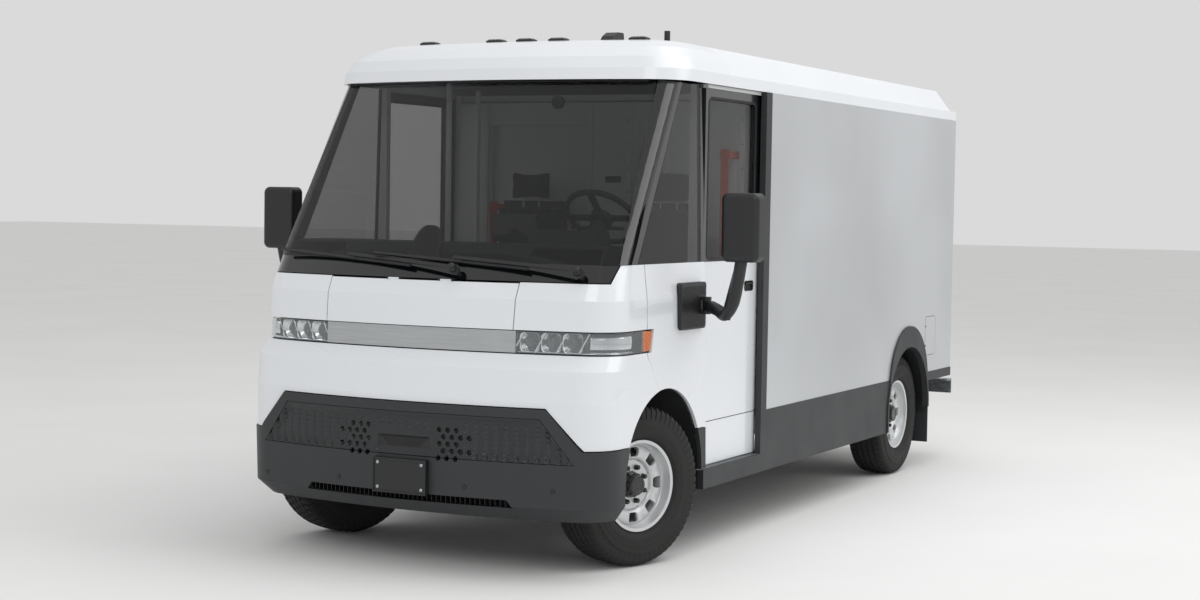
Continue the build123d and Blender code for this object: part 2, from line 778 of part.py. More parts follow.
def steered(shape, side):
    """Turns a front wheel piece about its kingpin to its angle at rest."""
    pivot = (side * kingpin_x, at(front_axle_s), 0)
    return shape.rotate(Axis(pivot, (0, 0, 1)), steer_at_rest)


def wheel_housings():
    """Liners over the wheels that keep them out of the cab and the cargo space."""
    wall = 4
    front = arch_solid(front_axle_s, axle_z, front_housing_radius + wall, 520, 1011, axle_z - 20)
    front = front - arch_solid(front_axle_s, axle_z, front_housing_radius, 524, 1200)
    rear = arch_solid(rear_axle_s, axle_z, rear_housing_radius + wall, 716, side_inner - touch_gap,
                      axle_z - 20)
    rear = rear - arch_solid(rear_axle_s, axle_z, rear_housing_radius, 720, 1200)
    front = front - block(500, 540, at(front_axle_s) - 90, at(front_axle_s) + 90, 300, axle_z + 170)
    rear = rear - block(700, 740, at(rear_axle_s) - 90, at(rear_axle_s) + 90, 300, axle_z + 90)
    return [*both(front), *both(rear)]


# ---------------------------------------------------------------- floors and cargo body
door_inner_x = 972.0
door_outer_x = 1000.0
pocket_x = 962.0
well_x = 790.0
well_z = 440.0
well_rear_s = door_rear_s - 12
pocket_rear_s = door_rear_s + 24 + door_rear_s - door_front_s


def cab_floor():
    """The cab floor with a step well inside each door."""
    floor = block(-pocket_x, pocket_x, at(front_axle_s) + front_housing_radius + 5, at(bulkhead_s),
                  floor_under_z, floor_top_z)
    tongue = block(-518, 518, at(-330), at(front_axle_s) + front_housing_radius + 5, floor_under_z,
                   floor_top_z)
    floor = floor + tongue
    for side in (-1, 1):
        well = block(side * well_x, side * 1100, at(door_front_s) + 10, at(well_rear_s), 300, 800)
        floor = floor - well
    return floor


def entry_steps():
    """The tread and riser of each step well."""
    tread = block(well_x - 4, pocket_x, at(door_front_s) + 10.5, at(well_rear_s) - touch_gap, well_z - 14,
                  well_z)
    riser = block(well_x - 4, well_x, at(door_front_s) + 10.5, at(well_rear_s) - touch_gap, well_z,
                  floor_under_z - touch_gap)
    return both(tread + riser)


bulkhead_s = 1300.0
bulkhead_depth = 30.0
bulkhead_door_x = (-700.0, -90.0)
bulkhead_door_top = 2240.0


def cargo_floor():
    """Cargo floor, cut round the rear wheel housings."""
    start = bulkhead_s + touch_gap
    floor = block(-pocket_x, pocket_x, at(start), at(pocket_rear_s), floor_under_z, floor_top_z)
    floor = floor + block(-side_inner + touch_gap, side_inner - touch_gap, at(pocket_rear_s),
                          at(post_front_s) - touch_gap,
                          floor_under_z, floor_top_z)
    ledge_end = at(bulkhead_s) + bulkhead_depth + 32
    floor = floor - block(-side_inner, side_inner, at(bulkhead_s), ledge_end, ledge_z, floor_top_z + 1)
    for side in (-1, 1):
        floor = floor - block(side * (pocket_x - 6), side * (pocket_x + 1), at(bulkhead_s),
                              at(pocket_rear_s), ledge_z,
                              floor_top_z + 1)
        room = arch_solid(rear_axle_s, axle_z, rear_housing_radius + 4 + touch_gap, 716 - touch_gap, 1200)
        floor = floor - (room if side > 0 else flip(room))
    return floor


post_front_s = 4808.0


def cargo_sides():
    """Sandwich side panels of the cargo body, with the rear wheel arches."""
    panel_solid = block(side_inner, body_half_width, at(cargo_front_s), at(cargo_rear_s),
                        skirt_top_z + touch_gap, eave_z)
    panel_solid = panel_solid - rear_flare(900, 1200, touch_gap)
    left = panel_solid - port_opening(0)
    return [left, flip(panel_solid)]


port_s = (4262.0, 4497.0)
port_z = (775.0, 1045.0)
port_corner = 42.0
port_hinge_corner = 11.0        # tight, so that the swinging edge clears the opening


def port_opening(inset):
    """The rounded hole for the charge socket in the left side."""
    middle = ((port_s[0] + port_s[1]) / 2, (port_z[0] + port_z[1]) / 2)
    plane = Plane(origin=(side_inner - 20, at(middle[0]), middle[1]), x_dir=(0, 1, 0), z_dir=(1, 0, 0))
    width = port_s[1] - port_s[0] - 2 * inset
    height = port_z[1] - port_z[0] - 2 * inset
    outline_face = Rectangle(width, height)
    outline_face = fillet(outline_face.vertices().sort_by(Axis.X)[:2], port_hinge_corner - inset)
    outline_face = fillet(outline_face.vertices().sort_by(Axis.X)[-2:], port_corner - inset)
    return extrude(plane * outline_face, 90)


port_hinge_x = body_half_width - 10
port_hinge_s = port_s[0] + 16


def charge_pocket():
    """The recessed tray, its socket and the hinge pin of the charge door."""
    depth_x = side_inner - 70
    middle_s = (port_s[0] + port_s[1]) / 2
    middle_z = (port_z[0] + port_z[1]) / 2
    tray = block(depth_x, side_inner - touch_gap, at(port_s[0]) - 20, at(port_s[1]) + 20, port_z[0] - 20,
                 port_z[1] + 20)
    tray = tray - block(depth_x + 8, side_inner + 1, at(port_s[0]) + 6, at(port_s[1]) - 6, port_z[0] + 6,
                        port_z[1] - 6)
    socket = rod_x(depth_x + 8, depth_x + 40, at(middle_s), middle_z + 40, 42)
    socket = socket - rod_x(depth_x + 18, depth_x + 60, at(middle_s), middle_z + 40, 34)
    fast = block(depth_x + 8, depth_x + 36, at(middle_s) - 50, at(middle_s) + 50, middle_z - 80,
                 middle_z - 20)
    body = tray + socket + fast
    y = at(port_hinge_s)
    for z in (middle_z - 67, middle_z + 67):
        body = body + block(depth_x + 8, port_hinge_x + 3.4, y - 8, y + 3, z - 5, z + 5)
    return body + rod_z(port_hinge_x, y, middle_z - 70, middle_z + 70, 3)


def charge_door():
    """The rounded flap over the charge socket, hinged along its front edge."""
    middle_z = (port_z[0] + port_z[1]) / 2
    y = at(port_hinge_s)
    flap = port_opening(3) & block(body_half_width - 6, body_half_width, at(port_s[0]) + 7, at(port_s[1]),
                                   *port_z)
    for z in (middle_z - 67, middle_z + 67):
        flap = flap - block(900, 1100, at(port_s[0]) - 5, y + 8, z - 6, z + 6)
    flap = flap + rod_z(port_hinge_x, y, middle_z - 61, middle_z + 61, 7)
    return flap - rod_z(port_hinge_x, y, middle_z - 80, middle_z + 80, 3 + running_gap)


def side_skirts():
    """Black lower trim: sill step under each cab door, cargo skirt, arch trims and mud flaps."""
    y_front = at(door_front_s) - 100
    sill = block(door_inner_x - 8, 1046, y_front, at(cargo_front_s), skirt_base_z, door_base_z - 8)
    foot = side_prism([(at(front_axle_s) + arch_back + 330, 640), (at(door_front_s) - 5, 640),
                       (at(door_front_s) + 5, 430),
                       (at(door_front_s) + 30, 420), (at(door_front_s) - 40, 400),
                       (at(front_axle_s) + 460, 400)], 1012, 1034)
    foot = foot - arch_solid(front_axle_s + arch_back, arch_z, arch_radius, 900, 1200)
    post = block(1012, 1046, at(door_rear_s), at(cargo_front_s) - touch_gap, door_base_z - 9, eave_z)
    cabin = sill + foot + post
    cabin = cabin - arch_solid(front_axle_s + arch_back, arch_z, arch_radius, 900, 1200)
    cabin = cabin - arch_solid(front_axle_s, axle_z, front_housing_radius + 4 + touch_gap, 900,
                               1011 + touch_gap)
    skirt = block(side_inner, body_half_width + 4, at(cargo_front_s), at(rear_axle_s), skirt_base_z,
                  skirt_top_z)
    flare = rear_flare(side_inner, body_half_width + 14, 0, skirt_base_z)
    tail = block(side_inner, body_half_width + 4, at(rear_axle_s), at(cargo_rear_s), 600, skirt_top_z)
    cargo = skirt + flare + tail
    cargo = cargo - rear_arch(900, 1200)
    flap = block(side_inner - 220, body_half_width, at(rear_axle_s) + rear_housing_radius + 4 + touch_gap,
                 at(rear_axle_s) + rear_housing_radius + 12, 170, 470)
    cargo = cargo - block(900, 1200, at(rear_axle_s) + rear_arch_radius - 10, at(tail_s), 0, 420)
    return [*both(cabin), *both(cargo), *both(flap)]


def body_frame():
    """Side rails and roof bows that join the cargo sides under the roof."""
    rail = block(925, 955, at(bulkhead_s), at(post_front_s) - touch_gap, 2372, eave_z)
    bars = both(rail)
    for s in (bulkhead_s + 40, 2100, 2900, 3700, 4500):
        bars.append(block(-925, 925, at(s), at(s) + 40, 2380, eave_z))
    for side in (-1, 1):
        for s in (2100, 2900, 3700, 4500):
            bars.append(block(side * 955, side * (side_inner - touch_gap), at(s), at(s) + 40, 2372, 2402))
    frame = bars[0]
    for bar in bars[1:]:
        frame = frame + bar
    return frame


def rear_frame():
    """The portal round the rear doors."""
    outer = block(-side_inner + touch_gap, side_inner - touch_gap, at(post_front_s), at(cargo_rear_s) - 2,
                  613, eave_z)
    hole = block(-930, 930, at(post_front_s) - 10, at(cargo_rear_s) + 10, floor_top_z, 2320)
    outer = outer - hole
    for side in (-1, 1):
        for z in hinge_levels:
            outer = outer + block(side * 936, side * rear_hinge_x, at(cargo_rear_s) - 2,
                                  at(rear_hinge_s) + 5, z + 21, z + 29)
            outer = outer + rod_z(side * rear_hinge_x, at(rear_hinge_s), z + 21, z + 29, 11)
            outer = outer + block(side * 936, side * rear_hinge_x, at(cargo_rear_s) - 2,
                                  at(rear_hinge_s) + 5, z - 29, z - 21)
            outer = outer + rod_z(side * rear_hinge_x, at(rear_hinge_s), z - 29, z - 21, 11)
            outer = outer + rod_z(side * rear_hinge_x, at(rear_hinge_s), z - 24, z + 24, 6)
    return outer


hinge_levels = (820.0, 1500.0, 2180.0)
rear_hinge_x = 966.0
rear_hinge_s = 4914.0
rear_door_s = (4870.0, 4904.0)


def rear_door(side):
    """One leaf of the rear doors with its hinge barrels; the right leaf carries the lock bar keepers."""
    leaf = block(side * 2.5, side * 945, at(rear_door_s[0]) + joint_gap, at(rear_door_s[1]), 672, 2345)
    leaf = leaf - block(side * 120, side * 830, at(rear_door_s[1]) - 8, at(rear_door_s[1]) + 1, 760, 1450)
    leaf = leaf - block(side * 120, side * 830, at(rear_door_s[1]) - 8, at(rear_door_s[1]) + 1, 1560, 2220)
    for z in hinge_levels:
        leaf = leaf - block(side * 930, side * 946, at(rear_door_s[0]) - 5, at(rear_door_s[1]) + 20, z - 30,
                            z + 30)
        arm = block(side * 900, side * rear_hinge_x, at(rear_door_s[1]) - 4, at(rear_hinge_s) + 6, z - 20.5,
                    z + 20.5)
        arm = arm + rod_z(side * rear_hinge_x, at(rear_hinge_s), z - 20.5, z + 20.5, 11)
        leaf = leaf + arm
        leaf = leaf - rod_z(side * rear_hinge_x, at(rear_hinge_s), z - 30, z + 30, 6 + running_gap)
    if side < 0:
        leaf = leaf - rod_y(-60, at(rear_door_s[0]) - 5, at(rear_door_s[1]) + 5, handle_z, 9 + running_gap)
    return leaf


handle_z = 1480.0


def rear_handle():
    """Turning handle and its shaft through the right leaf."""
    y = at(rear_door_s[1])
    shaft = rod_y(-60, at(rear_door_s[0]) + 6, y + 20, handle_z, 9)
    grip = block(-180, -45, y + 8, y + 22, handle_z - 13, handle_z + 13)
    grip = fillet(grip.edges().filter_by(Axis.Y), 10)
    return shaft + grip


def tail_lamps():
    """Tall lamp clusters on the rear corners."""
    y = at(cargo_rear_s) + touch_gap
    lamps = []
    for z0, z1 in ((900, 1010), (1014, 1124), (1128, 1238)):
        lamps += both(block(978, 1030, y, y + 22, z0, z1))
    return lamps


def rear_bumper():
    """The full width rear step."""
    step = block(-1000, 1000, at(step_front_s) + touch_gap, at(tail_s), *step_z)
    step = step - block(-1010, 1010, at(step_front_s) - 1, at(tail_s) - 12, step_z[0] - 1, step_z[1] - 12)
    for x in (-rail_x, 0, rail_x):
        web = block(x - 40, x + 40, at(step_front_s) + touch_gap, at(tail_s) - 12, step_z[0] + 10,
                    step_z[1] - 12)
        step = step + web
    return step


# ---------------------------------------------------------------- cab doors
door_top_z = 2398.0
door_glass_z = (1512.0, 2345.0)
door_glass_s = (606.0, 1232.0)


def cab_door():
    """Left sliding door leaf, with its window opening and pull."""
    leaf = block(door_inner_x, door_outer_x, at(door_front_s), at(door_rear_s) + 20, door_base_z, door_top_z)
    leaf = leaf - block(door_inner_x - 5, door_outer_x + 5, at(door_glass_s[0]), at(door_glass_s[1]),
                        *door_glass_z)
    crease = block(door_outer_x - 3, door_outer_x + 5, at(door_front_s) - 5, at(door_rear_s) + 25,
                   skirt_top_z - 4, skirt_top_z)
    pull = block(door_outer_x - 9, door_outer_x + 1, at(1120), at(1240), 1330, 1380)
    return leaf - crease - pull


def door_window():
    gap = touch_gap
    middle = (door_inner_x + door_outer_x) / 2 + 4
    return block(middle - 3, middle + 3, at(door_glass_s[0]) + gap, at(door_glass_s[1]) - gap,
                 door_glass_z[0] + gap, door_glass_z[1] - gap)


def door_rails():
    """Upper and lower guide rails and the inner wall of each door pocket."""
    wall = block(pocket_x - 4, pocket_x, at(bulkhead_s) + bulkhead_depth + touch_gap,
                 at(pocket_rear_s) - touch_gap,
                 ledge_z + touch_gap, 2371)
    top = block(pocket_x + 1, side_inner - touch_gap, at(door_front_s), at(pocket_rear_s) - touch_gap,
                door_top_z + joint_gap, eave_z)
    low = block(pocket_x + 1, side_inner - touch_gap, at(cargo_front_s), at(pocket_rear_s) - touch_gap,
                door_base_z - 8 - 20, door_base_z - joint_gap)
    end = block(pocket_x + 1, side_inner - touch_gap, at(pocket_rear_s) - 20, at(pocket_rear_s) - touch_gap,
                door_base_z - 28, eave_z)
    return [*both(wall), *both(top + low + end)]


def bulkhead():
    """The wall behind the seats, with a doorway, a door rail and the grab poles."""
    wall = block(-pocket_x + 4, pocket_x - 4, at(bulkhead_s) + touch_gap, at(bulkhead_s) + bulkhead_depth,
                 ledge_z + touch_gap, 2371)
    wall = wall - block(*bulkhead_door_x, at(bulkhead_s) - 5, at(bulkhead_s) + 60, floor_top_z + 20,
                        bulkhead_door_top)
    rail = block(-740, 560, at(bulkhead_s) + bulkhead_depth, at(bulkhead_s) + bulkhead_depth + 40, 2262, 2290)
    return wall + rail


def bulkhead_door():
    """The sliding door behind the bulkhead, hung from the rail."""
    y = at(bulkhead_s) + bulkhead_depth + joint_gap * 2
    x0, x1 = bulkhead_door_x
    leaf = block(x0 - 25, x1 + 25, y, y + 26, floor_top_z + 4, 2262 - joint_gap)
    pull = block(x0 + 20, x0 + 50, y - 3, y + 8, 1350, 1550)
    return leaf - pull


def grab_poles():
    """White upright poles beside the passenger step."""
    return [rod_z(-470, at(430), floor_top_z + touch_gap, 2440, 16),
            rod_z(-760, at(1230), floor_top_z + touch_gap, 2440, 16)]


# ---------------------------------------------------------------- cab interior
driver_x = 560.0
passenger_x = -330.0
dash_top_z = 1585.0
wheel_tilt = 48.0
steering_centre = (driver_x, at(262), 1722.0)


def firewall():
    """The wall between the nose and the cab, with shelves shaped to carry the nose panels."""
    wall = block(-517, 517, firewall_y, firewall_y + 13, floor_under_z - 12, 1460)
    upper = block(-940, 940, firewall_y, firewall_y + 13, front_housing_radius + axle_z + 6, 1460)
    body = wall + upper
    shelf = block(-1100, 1100, at(-900), firewall_y, carrier_top_z - 10, carrier_top_z)
    body = body + (shelf & inside(fascia_sections, panel * 4 + touch_gap))
    shelf = block(-1100, 1100, at(-900), firewall_y, lamp_top_z + 14, lamp_top_z + 20)
    body = body + (shelf & inside(hood_sections, panel * 3 + touch_gap))
    shelf = block(-1100, 1100, at(-900), firewall_y, 1446, 1454)
    body = body + (shelf & inside(hood_sections, panel * 3 + touch_gap))
    for which in wiper_pivots:
        body = body - wiper_plane(which) * (Pos(0, 0, -60) * Cylinder(13 + touch_gap, 200))
    return body


def dashboard():
    """The dashboard shell, raised in front of the driver."""
    points = [(firewall_y + 13 + touch_gap, 1130), (firewall_y + 13 + touch_gap, 1462), (at(-450), 1462),
              (at(-470), 1540),
              (at(-440), dash_top_z), (at(-60), dash_top_z), (at(20), dash_top_z - 60), (at(10), 1330),
              (at(-120), 1130)]
    body = side_prism(points, -900, 900)
    hollow = side_prism([(at(-318), 1100), (at(-318), 1474), (at(-436), 1474), (at(-452), 1540),
                         (at(-430), dash_top_z - 12),
                         (at(-70), dash_top_z - 12), (at(8), dash_top_z - 68), (at(-2), 1335),
                         (at(-128), 1100)], -888, 888)
    body = body - hollow
    body = body & inside([(1120, 1010, -620, 190), (1400, 992, -580, 170), (glass_base_z, 992, -520, 150),
                          (1700, 985, -400, 150)], 6)
    hood = side_prism([(at(-200), dash_top_z - 10), (at(-150), dash_top_z + 75), (at(-40), dash_top_z + 70),
                       (at(20), dash_top_z - 40)], driver_x - 190, driver_x + 190)
    return body + hood


def column_plane():
    lean = radians(wheel_tilt)
    return Plane(origin=steering_centre, x_dir=(1, 0, 0), z_dir=(0, cos(lean), sin(lean)))


def steering_column():
    """The column from the dashboard up to the steering wheel, with two stalks."""
    plane = column_plane()
    body = plane * (Pos(0, 0, -190) * Cylinder(46, 260))
    body = body + plane * (Pos(0, 0, -60) * Cylinder(15, 80))
    stalks = plane * (Pos(0, 0, -75) * Rot(0, 90, 0) * Cylinder(9, 300))
    body = body + stalks
    dash_room = side_prism([(at(-600), 0), (at(-600), dash_top_z + 200), (at(-40), dash_top_z + 200),
                            (at(20) + touch_gap, dash_top_z - 40), (at(20) + touch_gap, dash_top_z - 60),
                            (at(10) + touch_gap, 1330), (at(-120), 1130), (at(-120), 0)], driver_x - 400,
                            driver_x + 400)
    return body - dash_room


def steering_wheel():
    """Rim, spokes and boss of the steering wheel."""
    plane = column_plane()
    wheel = Torus(190, 15)
    wheel = wheel + Pos(0, 0, -16) * Cylinder(62, 34)
    for angle in (0, 180, 270):
        wheel = wheel + Rot(0, 0, angle) * (Pos(120, 0, -6) * Box(150, 34, 14))
    wheel = wheel - Pos(0, 0, -40) * Cylinder(15 + running_gap, 41)
    return plane * wheel


driver_back_s = 1120.0
passenger_back_s = 1150.0
fold_s = 1000.0
fold_z = 1084.0
pad_base_z = 1080.0


def pedestal(x, back_s, top_z):
    """Floor plate, column and upright back frame of a seat."""
    body = block(x - 190, x + 190, at(760), at(1130), floor_top_z + touch_gap, floor_top_z + 24)
    body = body + block(x - 110, x + 110, at(830), at(980), floor_top_z + 24, top_z)
    body = body + block(x - 60, x + 60, at(900), at(back_s) + 30, 1010, 1040)
    return body + block(x - 200, x + 200, at(back_s), at(back_s) + 30, 1000, 1800)


def seat_frames():
    """Pedestals of the driver's seat and the passenger's folding seat, with the back frames."""
    driver = pedestal(driver_x, driver_back_s, pad_base_z)
    driver = driver + block(driver_x - 225, driver_x + 225, at(700), at(1100), pad_base_z - 20, pad_base_z)
    passenger = pedestal(passenger_x, passenger_back_s, fold_z - 16)
    for side in (-1, 1):
        cheek = block(passenger_x + side * 228, passenger_x + side * 240, at(fold_s) - 14, at(fold_s) + 40,
                      1010, fold_z + 14)
        link = block(passenger_x + side * 60, passenger_x + side * 240, at(fold_s) + 16, at(fold_s) + 40,
                     1010, 1040)
        passenger = passenger + cheek + link
    passenger = passenger + rod_x(passenger_x - 240, passenger_x + 240, at(fold_s), fold_z, 8)
    return [driver, passenger]


def seat_back(x, front_s, back_s):
    cushion = block(x - 225, x + 225, at(front_s), at(back_s) - touch_gap, pad_base_z + 150, 1780)
    head = block(x - 130, x + 130, at(front_s), at(back_s) - 10, 1800, 1970)
    stem = block(x - 60, x + 60, at(front_s) + 20, at(back_s) - 20, 1775, 1805)
    soft = fillet(cushion.edges().filter_by(Axis.X), 25) + fillet(head.edges().filter_by(Axis.X), 25)
    return soft + stem


def seat_cushion(x):
    cushion = block(x - 235, x + 235, at(640), at(driver_back_s) - 10, pad_base_z + touch_gap,
                    pad_base_z + 130)
    return fillet(cushion.edges().filter_by(Axis.X).sort_by(Axis.Z)[-2:], 35)


def folding_pan():
    """The pan of the folding seat, which turns about the rod at its rear."""
    pan = block(passenger_x - 220, passenger_x + 220, at(640), at(fold_s) - 6, fold_z - 10, fold_z + 10)
    pan = pan + rod_x(passenger_x - 220, passenger_x + 220, at(fold_s), fold_z, 14)
    return pan - rod_x(passenger_x - 260, passenger_x + 260, at(fold_s), fold_z, 8 + running_gap)


def folding_pad():
    low = fold_z + 10
    cushion = block(passenger_x - 225, passenger_x + 225, at(630), at(fold_s) - 15, low + touch_gap, low + 62)
    return fillet(cushion.edges().filter_by(Axis.X).sort_by(Axis.Z)[-2:], 25)


def seat_belts():
    """Upright runs of belt webbing, from the floor to their upper anchors."""
    driver = block(driver_x + 268, driver_x + 316, at(1160), at(1163), floor_top_z + touch_gap, 2100)
    driver = driver + block(driver_x + 262, driver_x + 322, at(1163), at(bulkhead_s) - touch_gap, 2050, 2090)
    frame_side = passenger_x - 200 - touch_gap
    passenger = block(passenger_x - 300, passenger_x - 252, at(1160), at(1163), floor_top_z + touch_gap, 1790)
    passenger = passenger + block(passenger_x - 306, frame_side, at(1163), at(1175), 1740, 1780)
    return [driver, passenger]


pedal_pivot = (at(-230), 1080.0)


def pedal(x0, x1, foot_z):
    """A hanging pedal: bored eye, arm and foot pad."""
    y, z = pedal_pivot
    middle = (x0 + x1) / 2
    arm = block(middle - 9, middle + 9, y - 4, y + 14, foot_z, z)
    eye = rod_x(middle - 14, middle + 14, y, z, 16)
    pad = block(x0, x1, y + 8, y + 26, foot_z - 50, foot_z + 50)
    body = arm + eye + pad
    return body - rod_x(x0 - 20, x1 + 20, y, z, 8 + running_gap)


def pedal_box():
    """The bracket and cross shaft that carry both pedals."""
    y, z = pedal_pivot
    shaft = rod_x(230, 500, y, z, 8)
    cheeks = []
    for x in (230, 365, 490):
        cheeks.append(block(x, x + 10, firewall_y + 13 + touch_gap, y + 16, z - 20, z + 20))
    body = shaft
    for cheek in cheeks:
        body = body + cheek
    back = block(230, 500, firewall_y + 13 + touch_gap, at(-322), z - 20, z + 40)
    return body + back


# ---------------------------------------------------------------- mirrors and wipers
mirror_pivot = (1078.0, at(440))
mirror_head_z = (1515.0, 1855.0)


def mirror_base(side_space):
    """Textured foot of the mirror on the cab side, with the two bored ears of its pivot."""
    plate = block(1000, 1052, at(190), at(490), 1162, 1400)
    plate = fillet(plate.edges().filter_by(Axis.X), 22)
    plate = plate - side_space
    x, y = mirror_pivot
    for z0, z1 in ((1236, 1254), (1306, 1324)):
        ear = block(1046, x, y - 24, y + 24, z0, z1) + rod_z(x, y, z0, z1, 24)
        plate = plate + ear
    return plate + rod_z(x, y, 1240, 1320, 9)


def mirror_head():
    """Swinging arm and hollow head of the left mirror."""
    x, y = mirror_pivot
    low, high = 1254 + joint_gap, 1306 - joint_gap
    arm = rod_z(x, y, low, high, 22)
    mid = (low + high) / 2
    path = Polyline((x, y, mid), (1285, at(215), mid - 32), (1382, at(165), mirror_head_z[0] + 20))
    start = Plane(origin=(x, y, mid), z_dir=(1285 - x, at(215) - y, -32))
    swept = sweep(start * Rectangle(30, 46), path, transition=Transition.RIGHT)
    arm = arm + swept
    arm = arm - rod_z(x, y, 1200, 1350, 9 + running_gap)
    clear = block(1000, x + 24.5, y - 24.5, y + 24.5, 1200, low) + block(1000, x + 24.5, y - 24.5, y + 24.5,
                                                                         high, 1400)
    arm = arm - clear
    shell_box = block(1284, 1484, at(118), at(212), *mirror_head_z)
    shell_box = fillet(shell_box.edges().filter_by(Axis.Y), 34)
    shell_box = fillet(shell_box.faces().sort_by(Axis.Y)[0].edges(), 24)
    cavity = block(1294, 1474, at(150), at(213), mirror_head_z[0] + 10, mirror_head_z[1] - 10)
    cavity = fillet(cavity.edges().filter_by(Axis.Y), 26)
    head = shell_box - cavity
    ball = Pos(1384, at(196), (mirror_head_z[0] + mirror_head_z[1]) / 2) * Sphere(12)
    post = rod_y(1384, at(149), at(196), (mirror_head_z[0] + mirror_head_z[1]) / 2, 7)
    return arm + head + post + ball


def mirror_glass():
    """Mirror plate on a socket that tilts about the ball in the head."""
    z = (mirror_head_z[0] + mirror_head_z[1]) / 2
    plate = block(1302, 1466, at(198), at(203), mirror_head_z[0] + 18, mirror_head_z[1] - 18)
    plate = fillet(plate.edges().filter_by(Axis.Y), 22)
    socket = rod_y(1384, at(188), at(203), z, 19)
    body = plate + socket
    return body - Pos(1384, at(196), z) * Sphere(12 + running_gap)


wiper_park = 4.4                # degrees above level
wiper_clearance = 14.0
arm_length = 660.0
blade_start = 260.0
blade_end = 1130.0
wiper_pivots = {"driver": (840.0, 240.0), "passenger": (210.0, -370.0)}
glass_lean = radians(32.2)
wiper_z = 1462.0


def glass_front(x, z):
    """The station of the windscreen's outer face at a given place."""
    base, top = -548, 30
    share = (z - glass_base_z) / (eave_z - glass_base_z)
    return base + (top - base) * share + bow_radius - sqrt(bow_radius**2 - x**2)


def wiper_plane(which):
    """The plane in which a wiper sweeps: square to the glass at the middle of its sweep."""
    pivot_x, touch_x = wiper_pivots[which]
    turn = touch_x / bow_radius
    normal = (cos(glass_lean) * turn, -cos(glass_lean), sin(glass_lean))
    level = (1, turn, 0)
    contact = (touch_x, at(glass_front(touch_x, glass_base_z)), glass_base_z)
    plane = Plane(origin=contact, x_dir=level, z_dir=normal)
    along = (pivot_x - touch_x) / cos(turn)
    drop = (wiper_z - glass_base_z) / cos(glass_lean)
    return plane.offset(wiper_clearance) * Pos(along, drop, 0) * Rot(0, 0, -wiper_park)


def wiper_posts():
    """The two pivot posts that come out through the cowl."""
    posts = []
    for which in wiper_pivots:
        place = wiper_plane(which)
        posts.append(place * (Pos(0, 0, -60) * Cylinder(13, 115) + Cylinder(8, 32)))
    return posts


def wiper(which):
    """Arm and blade; the arm is a flat bar with a bored head."""
    place = wiper_plane(which)
    head = Pos(0, 0, 10) * Cylinder(19, 20) - Pos(0, 0, 5) * Cylinder(8 + running_gap, 26)
    arm = Pos(-arm_length / 2 - 10, 0, 14) * Box(arm_length, 18, 9)
    arm = arm - Pos(0, 0, 5) * Cylinder(8 + running_gap, 26)
    blade = Pos(-(blade_start + blade_end) / 2, -16, 5) * Box(blade_end - blade_start, 14, 12)
    bridge = Pos(-arm_length + 10, -10, 10) * Box(60, 26, 8)
    return place * (head + arm + blade + bridge)


# ---------------------------------------------------------------- write the pieces
os.makedirs("parts", exist_ok=True)
nose = upper_nose()
upper = shell(glass_sections, 20, shell_back_s)
side_space = loft([outline(*s, 1500, inset=-touch_gap) for s in side_sections], ruled=True)
roof_space = roof_solid(-touch_gap)

save("front_bumper", front_bumper())
save("bumper_trim", radar_cover(), intake_bars(), plate_holder())
save("front_fascia", front_fascia())
save("cab_panels", corner_panels(nose), cab_side_panels())
cowl, pillars = windscreen_surround(nose, upper)
for which in wiper_pivots:
    cowl = cowl - wiper_plane(which) * (Pos(0, 0, -60) * Cylinder(13 + touch_gap, 200))
save("windscreen_surround", cowl, pillars)
save("cab_glass", windscreen(), quarter_windows())
save("grille_bar", grille_bar())
save("headlamps", headlamp_housings(), projector_lamps())
save("headlamp_lenses", headlamp_lenses())
save("marker_lamps", turn_signals(), roof_lamps(roof_space))
save("roof_shell", roof_shell())
save("outer_fittings", roof_antennas(roof_space), both(mirror_base(side_space)))

save("ladder_frame", ladder_frame(), body_outriggers())
save("battery_pack", battery_pack())
save("axles_and_springs", front_suspension(), steering_rack(), rear_axle(), rear_springs())
save("wheel_housings", wheel_housings())

save("cab_floor", cab_floor(), entry_steps())
save("cargo_floor", cargo_floor())
save("cargo_sides", cargo_sides())
save("charge_pocket", charge_pocket())
save("side_skirts", side_skirts())
save("body_frame", body_frame(), rear_frame(), cab_posts(), door_rails())
save("tail_lamps", tail_lamps())
save("rear_bumper", rear_bumper())
save("bulkhead", bulkhead(), grab_poles())

save("nose_frame", firewall(), hood_hinge_pins(), wiper_posts(), pedal_box())
save("dashboard", dashboard(), steering_column())
save("seat_frames", seat_frames())
backs = [seat_back(driver_x, 1020, driver_back_s), seat_back(passenger_x, 1080, passenger_back_s)]
save("seat_pads", backs, seat_cushion(driver_x))
save("seat_belts", seat_belts())

save("hood_panel", hood_panel(nose))
save("left_door", cab_door())
save("right_door", flip(cab_door()))
save("left_door_glass", door_window())
save("right_door_glass", flip(door_window()))
save("bulkhead_door", bulkhead_door())
save("rear_left_door", rear_door(1))
save("rear_right_door", rear_door(-1))
save("rear_handle", rear_handle())
save("charge_door", charge_door())
save("left_mirror_head", mirror_head())
save("right_mirror_head", flip(mirror_head()))
save("left_mirror_glass", mirror_glass())
save("right_mirror_glass", flip(mirror_glass()))
save("driver_wiper", wiper("driver"))
save("passenger_wiper", wiper("passenger"))
save("steering_wheel", steering_wheel())
save("folding_seat", folding_pan(), folding_pad())
save("accelerator_pedal", pedal(280, 340, 800))
save("brake_pedal", pedal(390, 470, 820))

